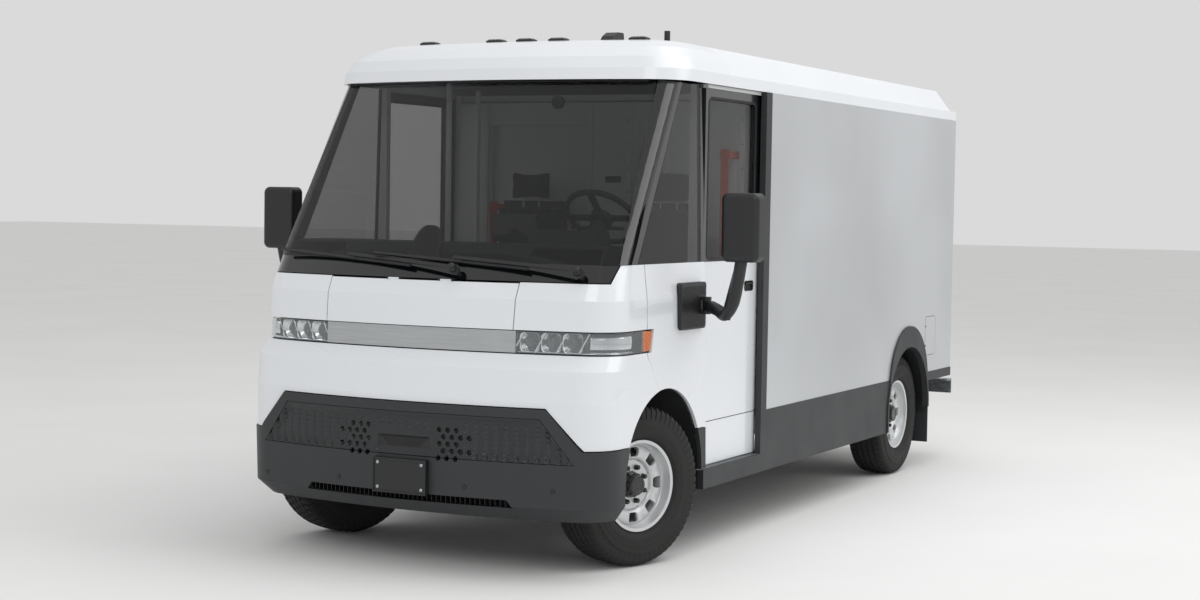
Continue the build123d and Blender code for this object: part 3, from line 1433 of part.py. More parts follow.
for side, word in ((1, "left"), (-1, "right")):
    knuckle = front_knuckle() if side > 0 else flip(front_knuckle())
    save(f"front_{word}_knuckle", steered(knuckle, side))
    for end, s in (("front", front_axle_s), ("rear", rear_axle_s)):
        rubber = tyre(side * track_half, at(s))
        wheel = [rim(side * track_half, at(s), side), hub(side * track_half, at(s), side)]
        if end == "front":
            rubber = steered(rubber, side)
            wheel = [steered(piece, side) for piece in wheel]
        save(f"{end}_{word}_tyre", rubber)
        save(f"{end}_{word}_wheel", wheel)
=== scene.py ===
from math import asin, atan2, cos, hypot, pi, radians, sin, tau

import bmesh
import bpy
from bpy.props import FloatProperty, FloatVectorProperty, IntProperty, PointerProperty
from mathutils import Matrix, Vector


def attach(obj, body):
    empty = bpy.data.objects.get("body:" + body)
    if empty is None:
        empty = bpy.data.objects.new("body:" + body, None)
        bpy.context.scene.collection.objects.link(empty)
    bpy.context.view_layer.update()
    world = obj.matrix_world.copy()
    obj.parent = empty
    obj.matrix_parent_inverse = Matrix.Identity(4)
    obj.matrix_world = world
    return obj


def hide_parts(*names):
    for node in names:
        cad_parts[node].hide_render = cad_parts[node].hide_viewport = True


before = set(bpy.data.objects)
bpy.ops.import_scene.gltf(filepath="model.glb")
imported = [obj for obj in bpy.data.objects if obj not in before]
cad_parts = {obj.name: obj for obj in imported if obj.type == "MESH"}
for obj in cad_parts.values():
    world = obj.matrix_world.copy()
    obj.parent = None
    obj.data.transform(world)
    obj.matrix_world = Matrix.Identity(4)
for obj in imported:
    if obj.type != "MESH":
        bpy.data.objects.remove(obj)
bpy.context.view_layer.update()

bl_info = {
    "name": "Mail Truck Looks",
    "version": (1, 0, 0),
    "blender": (4, 5, 0),
    "location": "3D View > Sidebar > Mail Truck",
    "description": "Builds the finishes and detailed pieces of a walk-in mail delivery truck",
    "category": "Object",
}


# ------------------------------------------------------------------ sizes and colours
def linear(code):
    """Linear red, green and blue of an sRGB hex colour."""
    out = []
    for i in (1, 3, 5):
        value = int(code[i:i + 2], 16) / 255
        out.append(value / 12.92 if value <= 0.04045 else ((value + 0.055) / 1.055) ** 2.4)
    return tuple(out)


def length(name, description, default):
    return FloatProperty(name=name, description=description, default=default, unit="LENGTH")


def colour(name, description, code):
    return FloatVectorProperty(name=name, description=description, default=linear(code),
                               subtype="COLOR", size=3, min=0.0, max=1.0)


class TruckSizes(bpy.types.PropertyGroup):
    """Sizes of the detailed pieces."""
    tread_pitches: IntProperty(name="Tread pitches", description="Repeats of the tread round a tyre",
                               default=64, min=24, max=96)
    tread_depth: length("Tread depth", "Depth of the tyre's grooves", 0.009)
    dimple_pitch: length("Dimple pitch", "Spacing of the dimples along a bumper row", 0.104)
    dimple_row: length("Dimple row", "Height from one row of dimples to the next", 0.0245)
    dimple_radius: length("Dimple radius", "Radius of one dimple", 0.0135)
    dimple_depth: length("Dimple depth", "Depth of one dimple", 0.0085)
    lattice_cell: length("Lattice cell", "Width of a cell in the mirror foot's lattice", 0.017)
    pad_swell: length("Pad swell", "How far the stuffed pads may swell", 0.012)
    voxel: length("Pad voxel", "Voxel size of the stuffed pads", 0.008)


class TruckColours(bpy.types.PropertyGroup):
    """Colours of the finishes."""
    enamel: colour("Body enamel", "White paint of the cab, doors and roof", "#E3E6EA")
    side_skin: colour("Side skin", "Pearl grey of the cargo sides", "#C3C6C9")
    trim: colour("Moulded trim", "Charcoal plastic of the bumper and skirts", "#2B2D2F")
    fittings: colour("Fittings", "Black plastic of the mirrors and wipers", "#17181A")
    webbing: colour("Belt webbing", "Orange of the seat belts", "#D9542B")
    fabric: colour("Seat fabric", "Charcoal cloth of the seats", "#26282A")
    wheel: colour("Wheel enamel", "Silver paint of the steel wheels", "#D3D5D6")
    bulkhead: colour("Wall panel", "Light grey of the bulkhead and body frame", "#DDE0DF")


# ------------------------------------------------------------------ places on the truck, in metres
WAIST_Z = 1.497
ROOF_Z = 2.650
LAMP_LOW, LAMP_HIGH = 1.0795, 1.1755
GLASS_LEAN = radians(32.2)
WIPER_PIVOT_Z = 1.462
DOOR_WINDOW = (-1.532, -0.912, 1.515, 2.342)    # front, rear, sill, head
DOOR_PULL = (-0.961, 1.355)
MIRROR_PLATE = (1.384, -1.930, 1.685)
LEAF_FACE_Y = 2.7632
LOCK_BAR_X = -0.24
BULKHEAD_FACE_Y = -0.841
STEERING_RIM, STEERING_RADIUS, STEERING_LEAN = (0.56, -1.879, 1.722), 0.1752, radians(48.0)
TAIL_LAMP_X, TAIL_LAMP_Y = 1.004, 2.7295
CLOTH_FRAMES = 20
SEAM_REACH = 0.016
CAMERA_SPOT = (5.087, -10.808, 1.804)
CAMERA_YAW, CAMERA_PITCH, CAMERA_ROLL = radians(26.911), radians(-2.911), radians(0.928)
CAMERA_LENS = 58.29


# ------------------------------------------------------------------ materials
def dress(tree, node, sockets):
    """Fills a node's sockets, or links them when the value is another node's output."""
    for key, value in sockets.items():
        if isinstance(value, bpy.types.NodeSocket):
            tree.links.new(value, node.inputs[key])
        else:
            node.inputs[key].default_value = value


def put(tree, kind, sockets=None, **settings):
    """Adds a node, sets its settings, and fills or links its sockets."""
    made = tree.nodes.new(kind)
    for key, value in settings.items():
        setattr(made, key, value)
    dress(tree, made, sockets or {})
    return made


def noise(tree, place, patch_mm, detail=2.0):
    """Soft noise with patches about that many millimetres across."""
    return put(tree, "ShaderNodeTexNoise",
               {"Vector": place, "Scale": 1000 / patch_mm, "Detail": detail}).outputs[0]


def blend(tree, share, low, high):
    """A colour that runs from low to high with the share."""
    return put(tree, "ShaderNodeMix", {0: share, 6: low, 7: high}, data_type="RGBA").outputs[2]


def between(tree, value, low, high, start=0.0, stop=1.0):
    """The value's range from start to stop, carried to low and high."""
    return put(tree, "ShaderNodeMapRange", {"Value": value, "From Min": start, "From Max": stop,
                                            "To Min": low, "To Max": high}).outputs[0]


def raised(tree, height, strength, distance=0.001):
    """A normal that follows a height, in metres."""
    return put(tree, "ShaderNodeBump",
               {"Height": height, "Strength": strength, "Distance": distance}).outputs[0]


def rgba(value, shade=1.0):
    """A colour as four numbers, from a hex code or three numbers, made lighter or darker."""
    parts = linear(value) if isinstance(value, str) else tuple(value)
    return tuple(min(1.0, part * shade) for part in parts) + (1.0,)


def finish_of(name):
    """A new material with its tree, its shader and a place socket in metres."""
    mat = bpy.data.materials.new(name)
    mat.use_nodes = True
    tree = mat.node_tree
    shader = tree.nodes["Principled BSDF"]
    return mat, tree, shader, put(tree, "ShaderNodeTexCoord").outputs["Object"]


def drifting(name, low, high, patch_mm, relief_mm, relief, rough, texture="ShaderNodeTexNoise", **fixed):
    """A finish whose colour drifts over patches, with a fine relief and a roughness that drifts."""
    mat, tree, shader, place = finish_of(name)
    patches = noise(tree, place, patch_mm, 1.0)
    grain = put(tree, texture, {"Vector": place, "Scale": 1000 / relief_mm})
    tint = blend(tree, patches, rgba(low), rgba(high))
    gloss = between(tree, patches, *rough, 0.2, 0.8)
    bump = raised(tree, grain.outputs[0], relief)
    dress(tree, shader, {"Base Color": tint, "Roughness": gloss,
                         "Normal": bump})
    dress(tree, shader, {key.replace("_", " "): value for key, value in fixed.items()})
    return mat


def baked_enamel(colours):
    # Sprayed and baked enamel on formed panels: even white, a deep clear gloss, and faint
    # orange peel, drawn at 40 mm because the real 2 mm is too fine to show.
    return drifting("baked_white_enamel", rgba(colours.enamel, 0.97)[:3], colours.enamel, 900, 40, 0.006,
                    (0.24, 0.32), IOR=1.5, Coat_Weight=0.8, Coat_Roughness=0.05)


def door_enamel(colours):
    # The same enamel on the doors, with black film laid over it above the waist line, so the
    # window frames read as dark as the glass.
    mat, tree, shader, place = finish_of("baked_white_enamel_with_black_film")
    height = put(tree, "ShaderNodeSeparateXYZ", {"Vector": place}).outputs[2]
    above = put(tree, "ShaderNodeMath", {0: height, 1: WAIST_Z}, operation="GREATER_THAN").outputs[0]
    peel = noise(tree, place, 900, 1.0)
    white = blend(tree, peel, rgba(colours.enamel, 0.97), rgba(colours.enamel))
    tint = blend(tree, above, white, rgba("#101214"))
    gloss = between(tree, peel, 0.24, 0.32)
    dress(tree, shader, {"Base Color": tint, "Roughness": gloss,
                         "Coat Weight": 0.8, "Coat Roughness": 0.05})
    return mat


def moulded_gelcoat(colours):
    # Hand-laid glass fibre with a white gelcoat: softer gloss than paint, and a slow ripple
    # about 120 mm across left by the mould.
    return drifting("moulded_white_gelcoat", rgba(colours.enamel, 0.96)[:3], rgba(colours.enamel, 1.01)[:3],
                    700, 120, 0.12, (0.3, 0.42), IOR=1.5, Coat_Weight=0.5, Coat_Roughness=0.12)


def pearl_skin(colours):
    # Coil-painted aluminium skin bonded to a foam core: a pearl grey with fine metal flake,
    # satin glare, and broad ripples about 500 mm across where the core pulls on it.
    mat, tree, shader, place = finish_of("coil_painted_pearl_skin")
    ripples = noise(tree, place, 500, 1.0)
    flake = put(tree, "ShaderNodeTexVoronoi", {"Vector": place, "Scale": 1000 / 3.0})
    clouds = noise(tree, place, 1400, 2.0)
    spread = between(tree, clouds, 0.0, 1.0, 0.35, 0.65)
    tint = blend(tree, spread, rgba(colours.side_skin, 0.9), rgba(colours.side_skin, 1.06))
    sparkle = put(tree, "ShaderNodeMix", {0: 0.06, 6: tint, 7: flake.outputs["Color"]},
                  data_type="RGBA", blend_type="SOFT_LIGHT")
    gloss = between(tree, clouds, 0.3, 0.44)
    bump = raised(tree, ripples, 0.35, 0.004)
    dress(tree, shader, {"Base Color": sparkle.outputs[2], "Roughness": gloss, "Metallic": 0.45,
                         "Normal": bump, "Coat Weight": 0.35, "Coat Roughness": 0.1})
    return mat


def gloss_black(_):
    # Acrylic-capped ABS, moulded and polished: near-black with a wet, mirror-like skin.
    return drifting("polished_black_acrylic", linear("#0A0B0D"), linear("#0F1113"), 400, 60, 0.02,
                    (0.06, 0.1), IOR=1.49, Coat_Weight=0.6, Coat_Roughness=0.03)


def grained_trim(colours):
    # Injection-moulded polypropylene with an etched grain, drawn at 4 mm: matt charcoal that
    # greys where light rakes over it.
    return drifting("grained_charcoal_polypropylene", rgba(colours.trim, 0.88)[:3],
                    rgba(colours.trim, 1.15)[:3], 260, 4.0, 0.35, (0.44, 0.58),
                    texture="ShaderNodeTexVoronoi", IOR=1.5)


def satin_panel(_):
    # The same polypropylene moulded against a polished tool: satin black, so that each dimple
    # catches a crescent of light.
    return drifting("satin_black_polypropylene", linear("#1D1F21"), linear("#26282A"), 300, 60, 0.02,
                    (0.26, 0.34), IOR=1.5)


def moulded_fittings(colours):
    # Glass-filled nylon, moulded with a fine spark-eroded skin, drawn at 3 mm: black with a low sheen.
    return drifting("moulded_black_nylon", colours.fittings, rgba(colours.fittings, 1.35)[:3], 180, 3.0, 0.2,
                    (0.36, 0.5), IOR=1.53)


def interior_plastic(_):
    # Soft-touch dashboard skin over foam, vacuum-formed with a leather-like grain drawn at 5 mm.
    return drifting("vacuum_formed_dark_skin", linear("#26292B"), linear("#303436"), 300, 5.0, 0.35,
                    (0.55, 0.68), texture="ShaderNodeTexVoronoi", IOR=1.5)


def chassis_coat(_):
    # Powder-coated pressed steel: black, slightly dusty, with a coarse orange peel 9 mm across.
    return drifting("powder_coated_steel", linear("#121314"), linear("#1D1E1F"), 150, 9.0, 0.3, (0.42, 0.6),
                    IOR=1.5)


def sand_casting(_):
    # Sand-cast iron, oiled: dark grey-brown with a 2.5 mm sand texture.
    return drifting("sand_cast_iron", linear("#2A2725"), linear("#3D3936"), 60, 2.5, 0.7, (0.55, 0.75),
                    Metallic=0.7)


def die_casting(_):
    # Ribbed aluminium case, die-cast and left bare: mid grey with faint flow marks.
    return drifting("die_cast_aluminium", linear("#8C8F91"), linear("#A3A6A8"), 220, 12, 0.15, (0.38, 0.5),
                    Metallic=1.0)


def wall_panel(colours):
    # Pre-painted aluminium sheet on the bulkhead and body frame: light grey, satin, with
    # slight oil-canning 400 mm across.
    return drifting("painted_aluminium_sheet", rgba(colours.bulkhead, 0.93)[:3], colours.bulkhead, 500, 400,
                    0.3, (0.36, 0.5), IOR=1.5, Coat_Weight=0.2, Coat_Roughness=0.2)


def rubber(_):
    # Cured tyre rubber with carbon black: deep matt grey, dusty in patches, 3 mm grain.
    return drifting("cured_tyre_rubber", linear("#1B1B1B"), linear("#2C2B2A"), 70, 3.0, 0.3, (0.62, 0.82),
                    IOR=1.52, Specular_IOR_Level=0.35)


def gasket(_):
    # Extruded EPDM seal: black, smooth, with a soft low sheen and lengthwise drag marks. The same black also
    # serves as painted shade in the bumper's holes and pocket, behind the intake fins and along the door
    # crease.
    return drifting("extruded_black_seal_and_painted_shade", linear("#0D0D0E"), linear("#151516"), 90, 6.0, 0.12, (0.5, 0.66),
                    IOR=1.52)


def wheel_enamel(colours):
    # Silver enamel sprayed on pressed steel: bright, a little metallic, slightly dusted near the edges.
    return drifting("sprayed_silver_enamel", rgba(colours.wheel, 0.9)[:3], colours.wheel, 90, 5.0, 0.06,
                    (0.28, 0.4), Metallic=0.3, Coat_Weight=0.5, Coat_Roughness=0.12)


def hub_coat(_):
    # Electro-coated steel hub and caps: black with wet highlights on the edges of the nuts.
    return drifting("electro_coated_black_steel", linear("#0E0F10"), linear("#191A1B"), 40, 4.0, 0.18,
                    (0.22, 0.36), IOR=1.5, Coat_Weight=0.4, Coat_Roughness=0.1)


def vacuum_chrome(_):
    # Reflector plastic with aluminium evaporated on in vacuum: a clean mirror with faint haze.
    return drifting("vacuum_metallised_reflector", linear("#D9DCDE"), linear("#F2F4F5"), 120, 30, 0.02,
                    (0.04, 0.1), Metallic=1.0)


def brushed_bar(_):
    # Aluminium drawn flat and brushed lengthwise: silver, with streaks 1.5 mm apart, drawn at 3 mm.
    mat, tree, shader, place = finish_of("brushed_aluminium_bar")
    run = put(tree, "ShaderNodeMapping", {"Vector": place, "Scale": (6.0, 6.0, 1000 / 3.0)})
    streaks = put(tree, "ShaderNodeTexNoise", {"Vector": run.outputs[0], "Scale": 1.0, "Detail": 3.0})
    tint = blend(tree, streaks.outputs[0], rgba("#A9ACAE"), rgba("#CDD0D1"))
    gloss = between(tree, streaks.outputs[0], 0.24, 0.38)
    bump = raised(tree, streaks.outputs[0], 0.08)
    dress(tree, shader, {"Base Color": tint, "Roughness": gloss, "Metallic": 1.0,
                         "Normal": bump, "Anisotropic": 0.5})
    return mat


def spangled_zinc(_):
    # Hot-dip galvanised steel: flat zinc crystals about 12 mm across, each a different grey.
    mat, tree, shader, place = finish_of("hot_dip_galvanised_steel")
    crystals = put(tree, "ShaderNodeTexVoronoi", {"Vector": place, "Scale": 1000 / 12})
    grey = put(tree, "ShaderNodeRGBToBW", {"Color": crystals.outputs["Color"]}).outputs[0]
    tint = blend(tree, grey, rgba("#7E8386"), rgba("#A9ADAF"))
    gloss = between(tree, grey, 0.35, 0.55)
    bump = raised(tree, grey, 0.1)
    dress(tree, shader, {"Base Color": tint, "Roughness": gloss, "Metallic": 0.9,
                         "Normal": bump})
    return mat


def faced_ply(_):
    # Film-faced birch plywood for vehicle floors: dark brown phenolic film pressed with a
    # square mesh of 9 mm, worn paler in patches.
    mat, tree, shader, place = finish_of("film_faced_birch_plywood")
    across = put(tree, "ShaderNodeTexWave", {"Vector": place, "Scale": 1000 / 9 / tau}, bands_direction="X")
    along = put(tree, "ShaderNodeTexWave", {"Vector": place, "Scale": 1000 / 9 / tau}, bands_direction="Y")
    mesh = put(tree, "ShaderNodeMath", {0: across.outputs[1], 1: along.outputs[1]}, operation="MAXIMUM")
    wear = noise(tree, place, 350, 6.0)
    tint = blend(tree, wear, rgba("#2E241D"), rgba("#57483C"))
    bump = raised(tree, mesh.outputs[0], 0.5)
    gloss = between(tree, wear, 0.4, 0.62)
    dress(tree, shader, {"Base Color": tint, "Roughness": gloss, "Normal": bump})
    return mat


def woven(name, thread_mm, dark, light, sheen):
    """Two crossing sets of threads, over and under, with yarn-to-yarn colour drift."""
    mat, tree, shader, place = finish_of(name)
    warp = put(tree, "ShaderNodeTexWave", {"Vector": place, "Scale": 1000 / thread_mm / tau,
                                           "Distortion": 0.4},
               bands_direction="X")
    weft = put(tree, "ShaderNodeTexWave", {"Vector": place, "Scale": 1000 / thread_mm / tau,
                                           "Distortion": 0.4},
               bands_direction="Z")
    cross = put(tree, "ShaderNodeMath", {0: warp.outputs[1], 1: weft.outputs[1]}, operation="MULTIPLY")
    yarns = noise(tree, place, 25, 4.0)
    mixed = put(tree, "ShaderNodeMath", {0: cross.outputs[0], 1: yarns}, operation="MULTIPLY")
    tint = blend(tree, mixed.outputs[0], rgba(dark), rgba(light))
    bump = raised(tree, cross.outputs[0], 0.6)
    rough = between(tree, yarns, 0.75, 0.95)
    dress(tree, shader, {"Base Color": tint, "Roughness": rough, "Normal": bump,
                         "Sheen Weight": sheen, "Sheen Roughness": 0.5, "Specular IOR Level": 0.3})
    return mat


def seat_cloth(colours):
    # Flat-woven polyester seat cloth, 0.8 mm yarns drawn at 3 mm: charcoal with a dry bloom.
    return woven("flat_woven_seat_cloth", 3.0, rgba(colours.fabric, 0.7)[:3], rgba(colours.fabric, 1.9)[:3],
                 0.25)


def belt_webbing(colours):
    # Polyester belt webbing woven in a 2 mm twill, drawn at 5 mm: bright orange, dry and ribbed.
    return woven("woven_orange_webbing", 5.0, rgba(colours.webbing, 0.75)[:3], rgba(colours.webbing, 1.1)[:3],
                 0.15)


def pane(name, tint, alpha, rough, drift_mm=900.0):
    """Thin glazing: what is behind shows straight through, under a clean gloss."""
    mat, tree, shader, place = finish_of(name)
    haze = noise(tree, place, drift_mm)
    shade = blend(tree, haze, rgba(tint, 0.85), rgba(tint, 1.15))
    film = between(tree, haze, rough, rough + 0.03)
    dress(tree, shader, {"Base Color": shade, "Roughness": film, "Alpha": alpha,
                         "IOR": 1.52, "Coat Weight": 0.3, "Coat Roughness": 0.02})
    return mat


def tinted_glass(_):
    # Laminated safety glass with a grey-green interlayer: dark, but the cab still shows.
    return pane("laminated_tinted_glass", "#070A09", 0.42, 0.02)


def door_glazing(_):
    # Toughened privacy glass in the doors: the same tint, a little paler.
    return pane("toughened_tinted_glass", "#0E1312", 0.3, 0.02)


def clear_lens(_):
    # Hard-coated polycarbonate lens: nearly clear, with a thin bright skin.
    return pane("hard_coated_polycarbonate", "#C9CFD2", 0.14, 0.02, 200.0)


def lens_plastic(name, low, high, ribs_mm):
    """A coloured lens moulded in PMMA, with upright optic ribs inside."""
    mat, tree, shader, place = finish_of(name)
    ribs = put(tree, "ShaderNodeTexWave", {"Vector": place, "Scale": 1000 / ribs_mm / tau},
               bands_direction="DIAGONAL")
    tint = blend(tree, ribs.outputs[1], rgba(low), rgba(high))
    bump = raised(tree, ribs.outputs[1], 0.3)
    dress(tree, shader, {"Base Color": tint, "Normal": bump, "Roughness": 0.08,
                         "IOR": 1.49, "Coat Weight": 1.0, "Coat Roughness": 0.03,
                         "Transmission Weight": 0.15})
    return mat


def amber_lens(_):
    # Transparent amber acrylic over a bright chamber: glowing orange, 6 mm optic ribs.
    return lens_plastic("moulded_amber_acrylic", "#C4531A", "#F28A3C", 6.0)


def red_lens(_):
    # Transparent red acrylic with 8 mm optic ribs: deep red, brighter on the rib crests.
    return lens_plastic("moulded_red_acrylic", "#6E0B0C", "#B51D1B", 8.0)


def smoked_lens(_):
    # Smoke-grey polycarbonate over unlit diodes: dark with a bright skin.
    return lens_plastic("moulded_smoked_polycarbonate", "#3A3D40", "#8C9194", 5.0)


def silvered_glass(_):
    # Float glass silvered at the back: a full mirror with the faintest green body.
    return drifting("silvered_mirror_glass", linear("#DDE4E1"), linear("#E6ECEA"), 300, 80, 0.0, (0.01, 0.03),
                    Metallic=1.0)


def projector_glass(_):
    # Pressed glass projector lens over an unlit chamber: nearly black, with a hard highlight.
    return drifting("pressed_projector_glass", linear("#08090B"), linear("#1B2025"), 30, 8, 0.0, (0.01, 0.03),
                    IOR=1.52, Coat_Weight=1.0, Coat_Roughness=0.01)


def zinc_screw(_):
    # Zinc-plated steel screw heads: pale grey metal with a fine turned grain.
    return drifting("zinc_plated_steel", linear("#9EA2A4"), linear("#C2C5C6"), 10, 1.5, 0.2, (0.25, 0.4),
                    Metallic=1.0)


MAKERS = {
    "white_paint": baked_enamel, "door_paint": door_enamel, "white_grp": moulded_gelcoat,
    "side_skin": pearl_skin, "black_gloss": gloss_black, "charcoal_plastic": grained_trim,
    "black_plastic": moulded_fittings, "interior_dark": interior_plastic, "frame_steel": chassis_coat,
    "casting": sand_casting, "aluminium_case": die_casting, "light_panel": wall_panel, "tyre_rubber": rubber,
    "seal": gasket, "wheel_paint": wheel_enamel, "hub_black": hub_coat, "bright_trim": vacuum_chrome,
    "brushed": brushed_bar, "galvanised": spangled_zinc, "floor_ply": faced_ply, "seat_fabric": seat_cloth,
    "webbing": belt_webbing, "tinted_glass": tinted_glass, "door_glazing": door_glazing,
    "clear_lens": clear_lens, "amber_lens": amber_lens, "red_lens": red_lens, "smoked": smoked_lens,
    "mirror_plate": silvered_glass, "projector": projector_glass, "screw": zinc_screw, "satin": satin_panel,
}


FINISHES = {}


def finish(key):
    """The finish of that name, made once."""
    if key not in FINISHES:
        FINISHES[key] = MAKERS[key](bpy.context.scene.truck_colours)
    return FINISHES[key]


# ------------------------------------------------------------------ mesh helpers
def piece(name, verts, faces, body, slot, keys, smooth=40.0, face_keys=None, bevel=0.0, thick=0.0):
    """A mesh that rides on a body, with its finishes and shading set."""
    data = bpy.data.meshes.new(name)
    data.from_pydata([tuple(v) for v in verts], [], faces)
    data.validate()
    obj = bpy.data.objects.new(name, data)
    bpy.context.scene.collection.objects.link(obj)
    for key in ([keys] if isinstance(keys, str) else keys):
        data.materials.append(finish(key))
    if face_keys:
        for polygon, index in zip(data.polygons, face_keys):
            polygon.material_index = index
    work = bmesh.new()
    work.from_mesh(data)
    bmesh.ops.remove_doubles(work, verts=work.verts, dist=1e-5)
    bmesh.ops.recalc_face_normals(work, faces=work.faces)
    work.to_mesh(data)
    work.free()
    if thick:
        wall = obj.modifiers.new("wall", "SOLIDIFY")
        wall.thickness = thick
        wall.offset = -1.0
    if bevel:
        edge = obj.modifiers.new("edge", "BEVEL")
        edge.width = bevel
        edge.segments = 3
        edge.limit_method = "ANGLE"
        edge.angle_limit = radians(35)
    data.polygons.foreach_set("use_smooth", [True] * len(data.polygons))
    data.set_sharp_from_angle(angle=radians(smooth))
    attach(obj, body)
    return obj


def joined(parts):
    """Vertices and faces of several (verts, faces) parts as one pair."""
    verts, faces = [], []
    for more, cells in parts:
        start = len(verts)
        verts.extend(Vector(v) for v in more)
        faces.extend([tuple(start + i for i in cell) for cell in cells])
    return verts, faces


def moved(part, matrix):
    return [matrix @ Vector(v) for v in part[0]], part[1]


def slab(lo, hi):
    """The corners and faces of a block between two corners."""
    xs, ys, zs = zip(lo, hi)
    verts = [Vector((x, y, z)) for z in zs for y in ys for x in xs]
    return verts, [(0, 2, 3, 1), (4, 5, 7, 6), (0, 1, 5, 4), (2, 6, 7, 3), (0, 4, 6, 2), (1, 3, 7, 5)]


def turned(profile, count=48, closed=False):
    """A profile of (along, radius) points turned about the X axis."""
    verts, faces = [], []
    for k in range(count):
        a = tau * k / count
        verts.extend(Vector((x, r * cos(a), r * sin(a))) for x, r in profile)
    n = len(profile)
    steps = n if closed else n - 1
    for k in range(count):
        here, there = k * n, (k + 1) % count * n
        for i in range(steps):
            j = (i + 1) % n
            faces.append((here + i, here + j, there + j, there + i))
    if not closed:
        for end in (0, n - 1):
            if profile[end][1] > 1e-6:
                faces.append(tuple(k * n + end for k in range(count)))
    return verts, faces


def sheet(columns, rows, place):
    """A grid of points from place(column, row)."""
    verts = [place(i, j) for j in range(rows + 1) for i in range(columns + 1)]
    wide = columns + 1
    faces = [(j * wide + i, j * wide + i + 1, (j + 1) * wide + i + 1, (j + 1) * wide + i)
             for j in range(rows) for i in range(columns)]
    return verts, faces


def tube(points, radius, sides=10, closed=False):
    """A round bar through points."""
    verts, faces = [], []
    n = len(points)
    points = [Vector(p) for p in points]
    for k, point in enumerate(points):
        before = points[(k - 1) % n] if closed or k else point
        after = points[(k + 1) % n] if closed or k < n - 1 else point
        ahead = (after - before).normalized()
        side = ahead.cross(Vector((0.1, 0.2, 1.0))).normalized()
        up = side.cross(ahead)
        turns = [tau * a / sides for a in range(sides)]
        verts.extend(point + (side * cos(turn) + up * sin(turn)) * radius for turn in turns)
    for k in range(n if closed else n - 1):
        here, there = k * sides, (k + 1) % n * sides
        for a in range(sides):
            b = (a + 1) % sides
            faces.append((here + a, here + b, there + b, there + a))
    if not closed:
        faces += [tuple(range(sides)), tuple((n - 1) * sides + a for a in range(sides))]
    return verts, faces


def rounded(half_w, half_h, radius, steps=6):
    """The points of a rectangle with rounded corners, round its middle."""
    out = []
    for corner in range(4):
        cx = (half_w - radius) * (1 if corner in (0, 3) else -1)
        cz = (half_h - radius) * (1 if corner in (0, 1) else -1)
        for k in range(steps + 1):
            a = pi / 2 * (corner + k / steps)
            out.append((cx + radius * cos(a), cz + radius * sin(a)))
    return out


def loops(rings, caps=(True, True)):
    """Faces that join closed rings of equal length in order, capped at the ends."""
    n = len(rings[0])
    verts = [Vector(v) for ring in rings for v in ring]
    faces = []
    for k in range(len(rings) - 1):
        for i in range(n):
            j = (i + 1) % n
            faces.append((k * n + i, k * n + j, (k + 1) * n + j, (k + 1) * n + i))
    if caps[0]:
        faces.append(tuple(range(n)))
    if caps[1]:
        faces.append(tuple((len(rings) - 1) * n + i for i in range(n)))
    return verts, faces


# ------------------------------------------------------------------ the shape of the nose
BOW = 3.8
BUMPER = ((0.28, 0.990, -2.806, 0.205), (0.35, 1.038, -2.879, 0.205), (0.82, 1.046, -2.893, 0.205))
LAMPS = ((1.075, 1.026, -2.777, 0.190), (1.180, 1.024, -2.773, 0.190))
GLASS = ((1.4995, 1.006, -2.689, 0.150), (2.416, 0.985, -2.111, 0.130))


def level(sections, z):
    """Half width, front and corner radius of the nose at a height."""
    if z <= sections[0][0]:
        return sections[0][1:]
    for low, high in zip(sections, sections[1:]):
        if z <= high[0]:
            share = (z - low[0]) / (high[0] - low[0])
            return [a + (b - a) * share for a, b in zip(low[1:], high[1:])]
    return sections[-1][1:]


def on_nose(sections, z, travel, sink=0.0):
    """The point that far round the nose from its middle, sunk below the skin, and the way out."""
    half, front, corner = level(sections, z)
    side = 1 if travel >= 0 else -1
    travel = abs(travel)
    inner = half - corner
    bend = asin(inner / (BOW - corner))
    turn_y = front + BOW - (BOW - corner) * cos(bend)
    if travel <= BOW * bend:
        angle = travel / BOW
        point = Vector((BOW * sin(angle), front + BOW * (1 - cos(angle)), z))
    else:
        angle = bend + (travel - BOW * bend) / corner
        over = angle - pi / 2
        angle = min(angle, pi / 2)
        point = Vector((inner + corner * sin(angle), turn_y - corner * cos(angle) + max(over, 0) * corner, z))
    out = Vector((sin(angle), -cos(angle), 0.0))
    point -= out * sink
    return Vector((side * point.x, point.y, z)), Vector((side * out.x, out.y, 0.0))


# ------------------------------------------------------------------ wheels
AXLE_Z = 0.4
TRACK = 0.865
FRONT_Y = -2.121
REAR_Y = 1.765
KINGPIN_X = 0.765
STEER = radians(-20.0)
WHEELS = [("front", "left", 1, FRONT_Y), ("front", "right", -1, FRONT_Y),
          ("rear", "left", 1, REAR_Y), ("rear", "right", -1, REAR_Y)]


def wheel_place(end, side, y):
    """Where a wheel built about the origin, facing +X, goes."""
    place = Matrix.Translation((side * TRACK, y, AXLE_Z))
    if side < 0:
        place = place @ Matrix.Rotation(pi, 4, "Z")
    if end == "front":
        pivot = Vector((side * KINGPIN_X, y, 0))
        steer = Matrix.Translation(pivot) @ Matrix.Rotation(STEER, 4, "Z") @ Matrix.Translation(-pivot)
        place = steer @ place
    return place


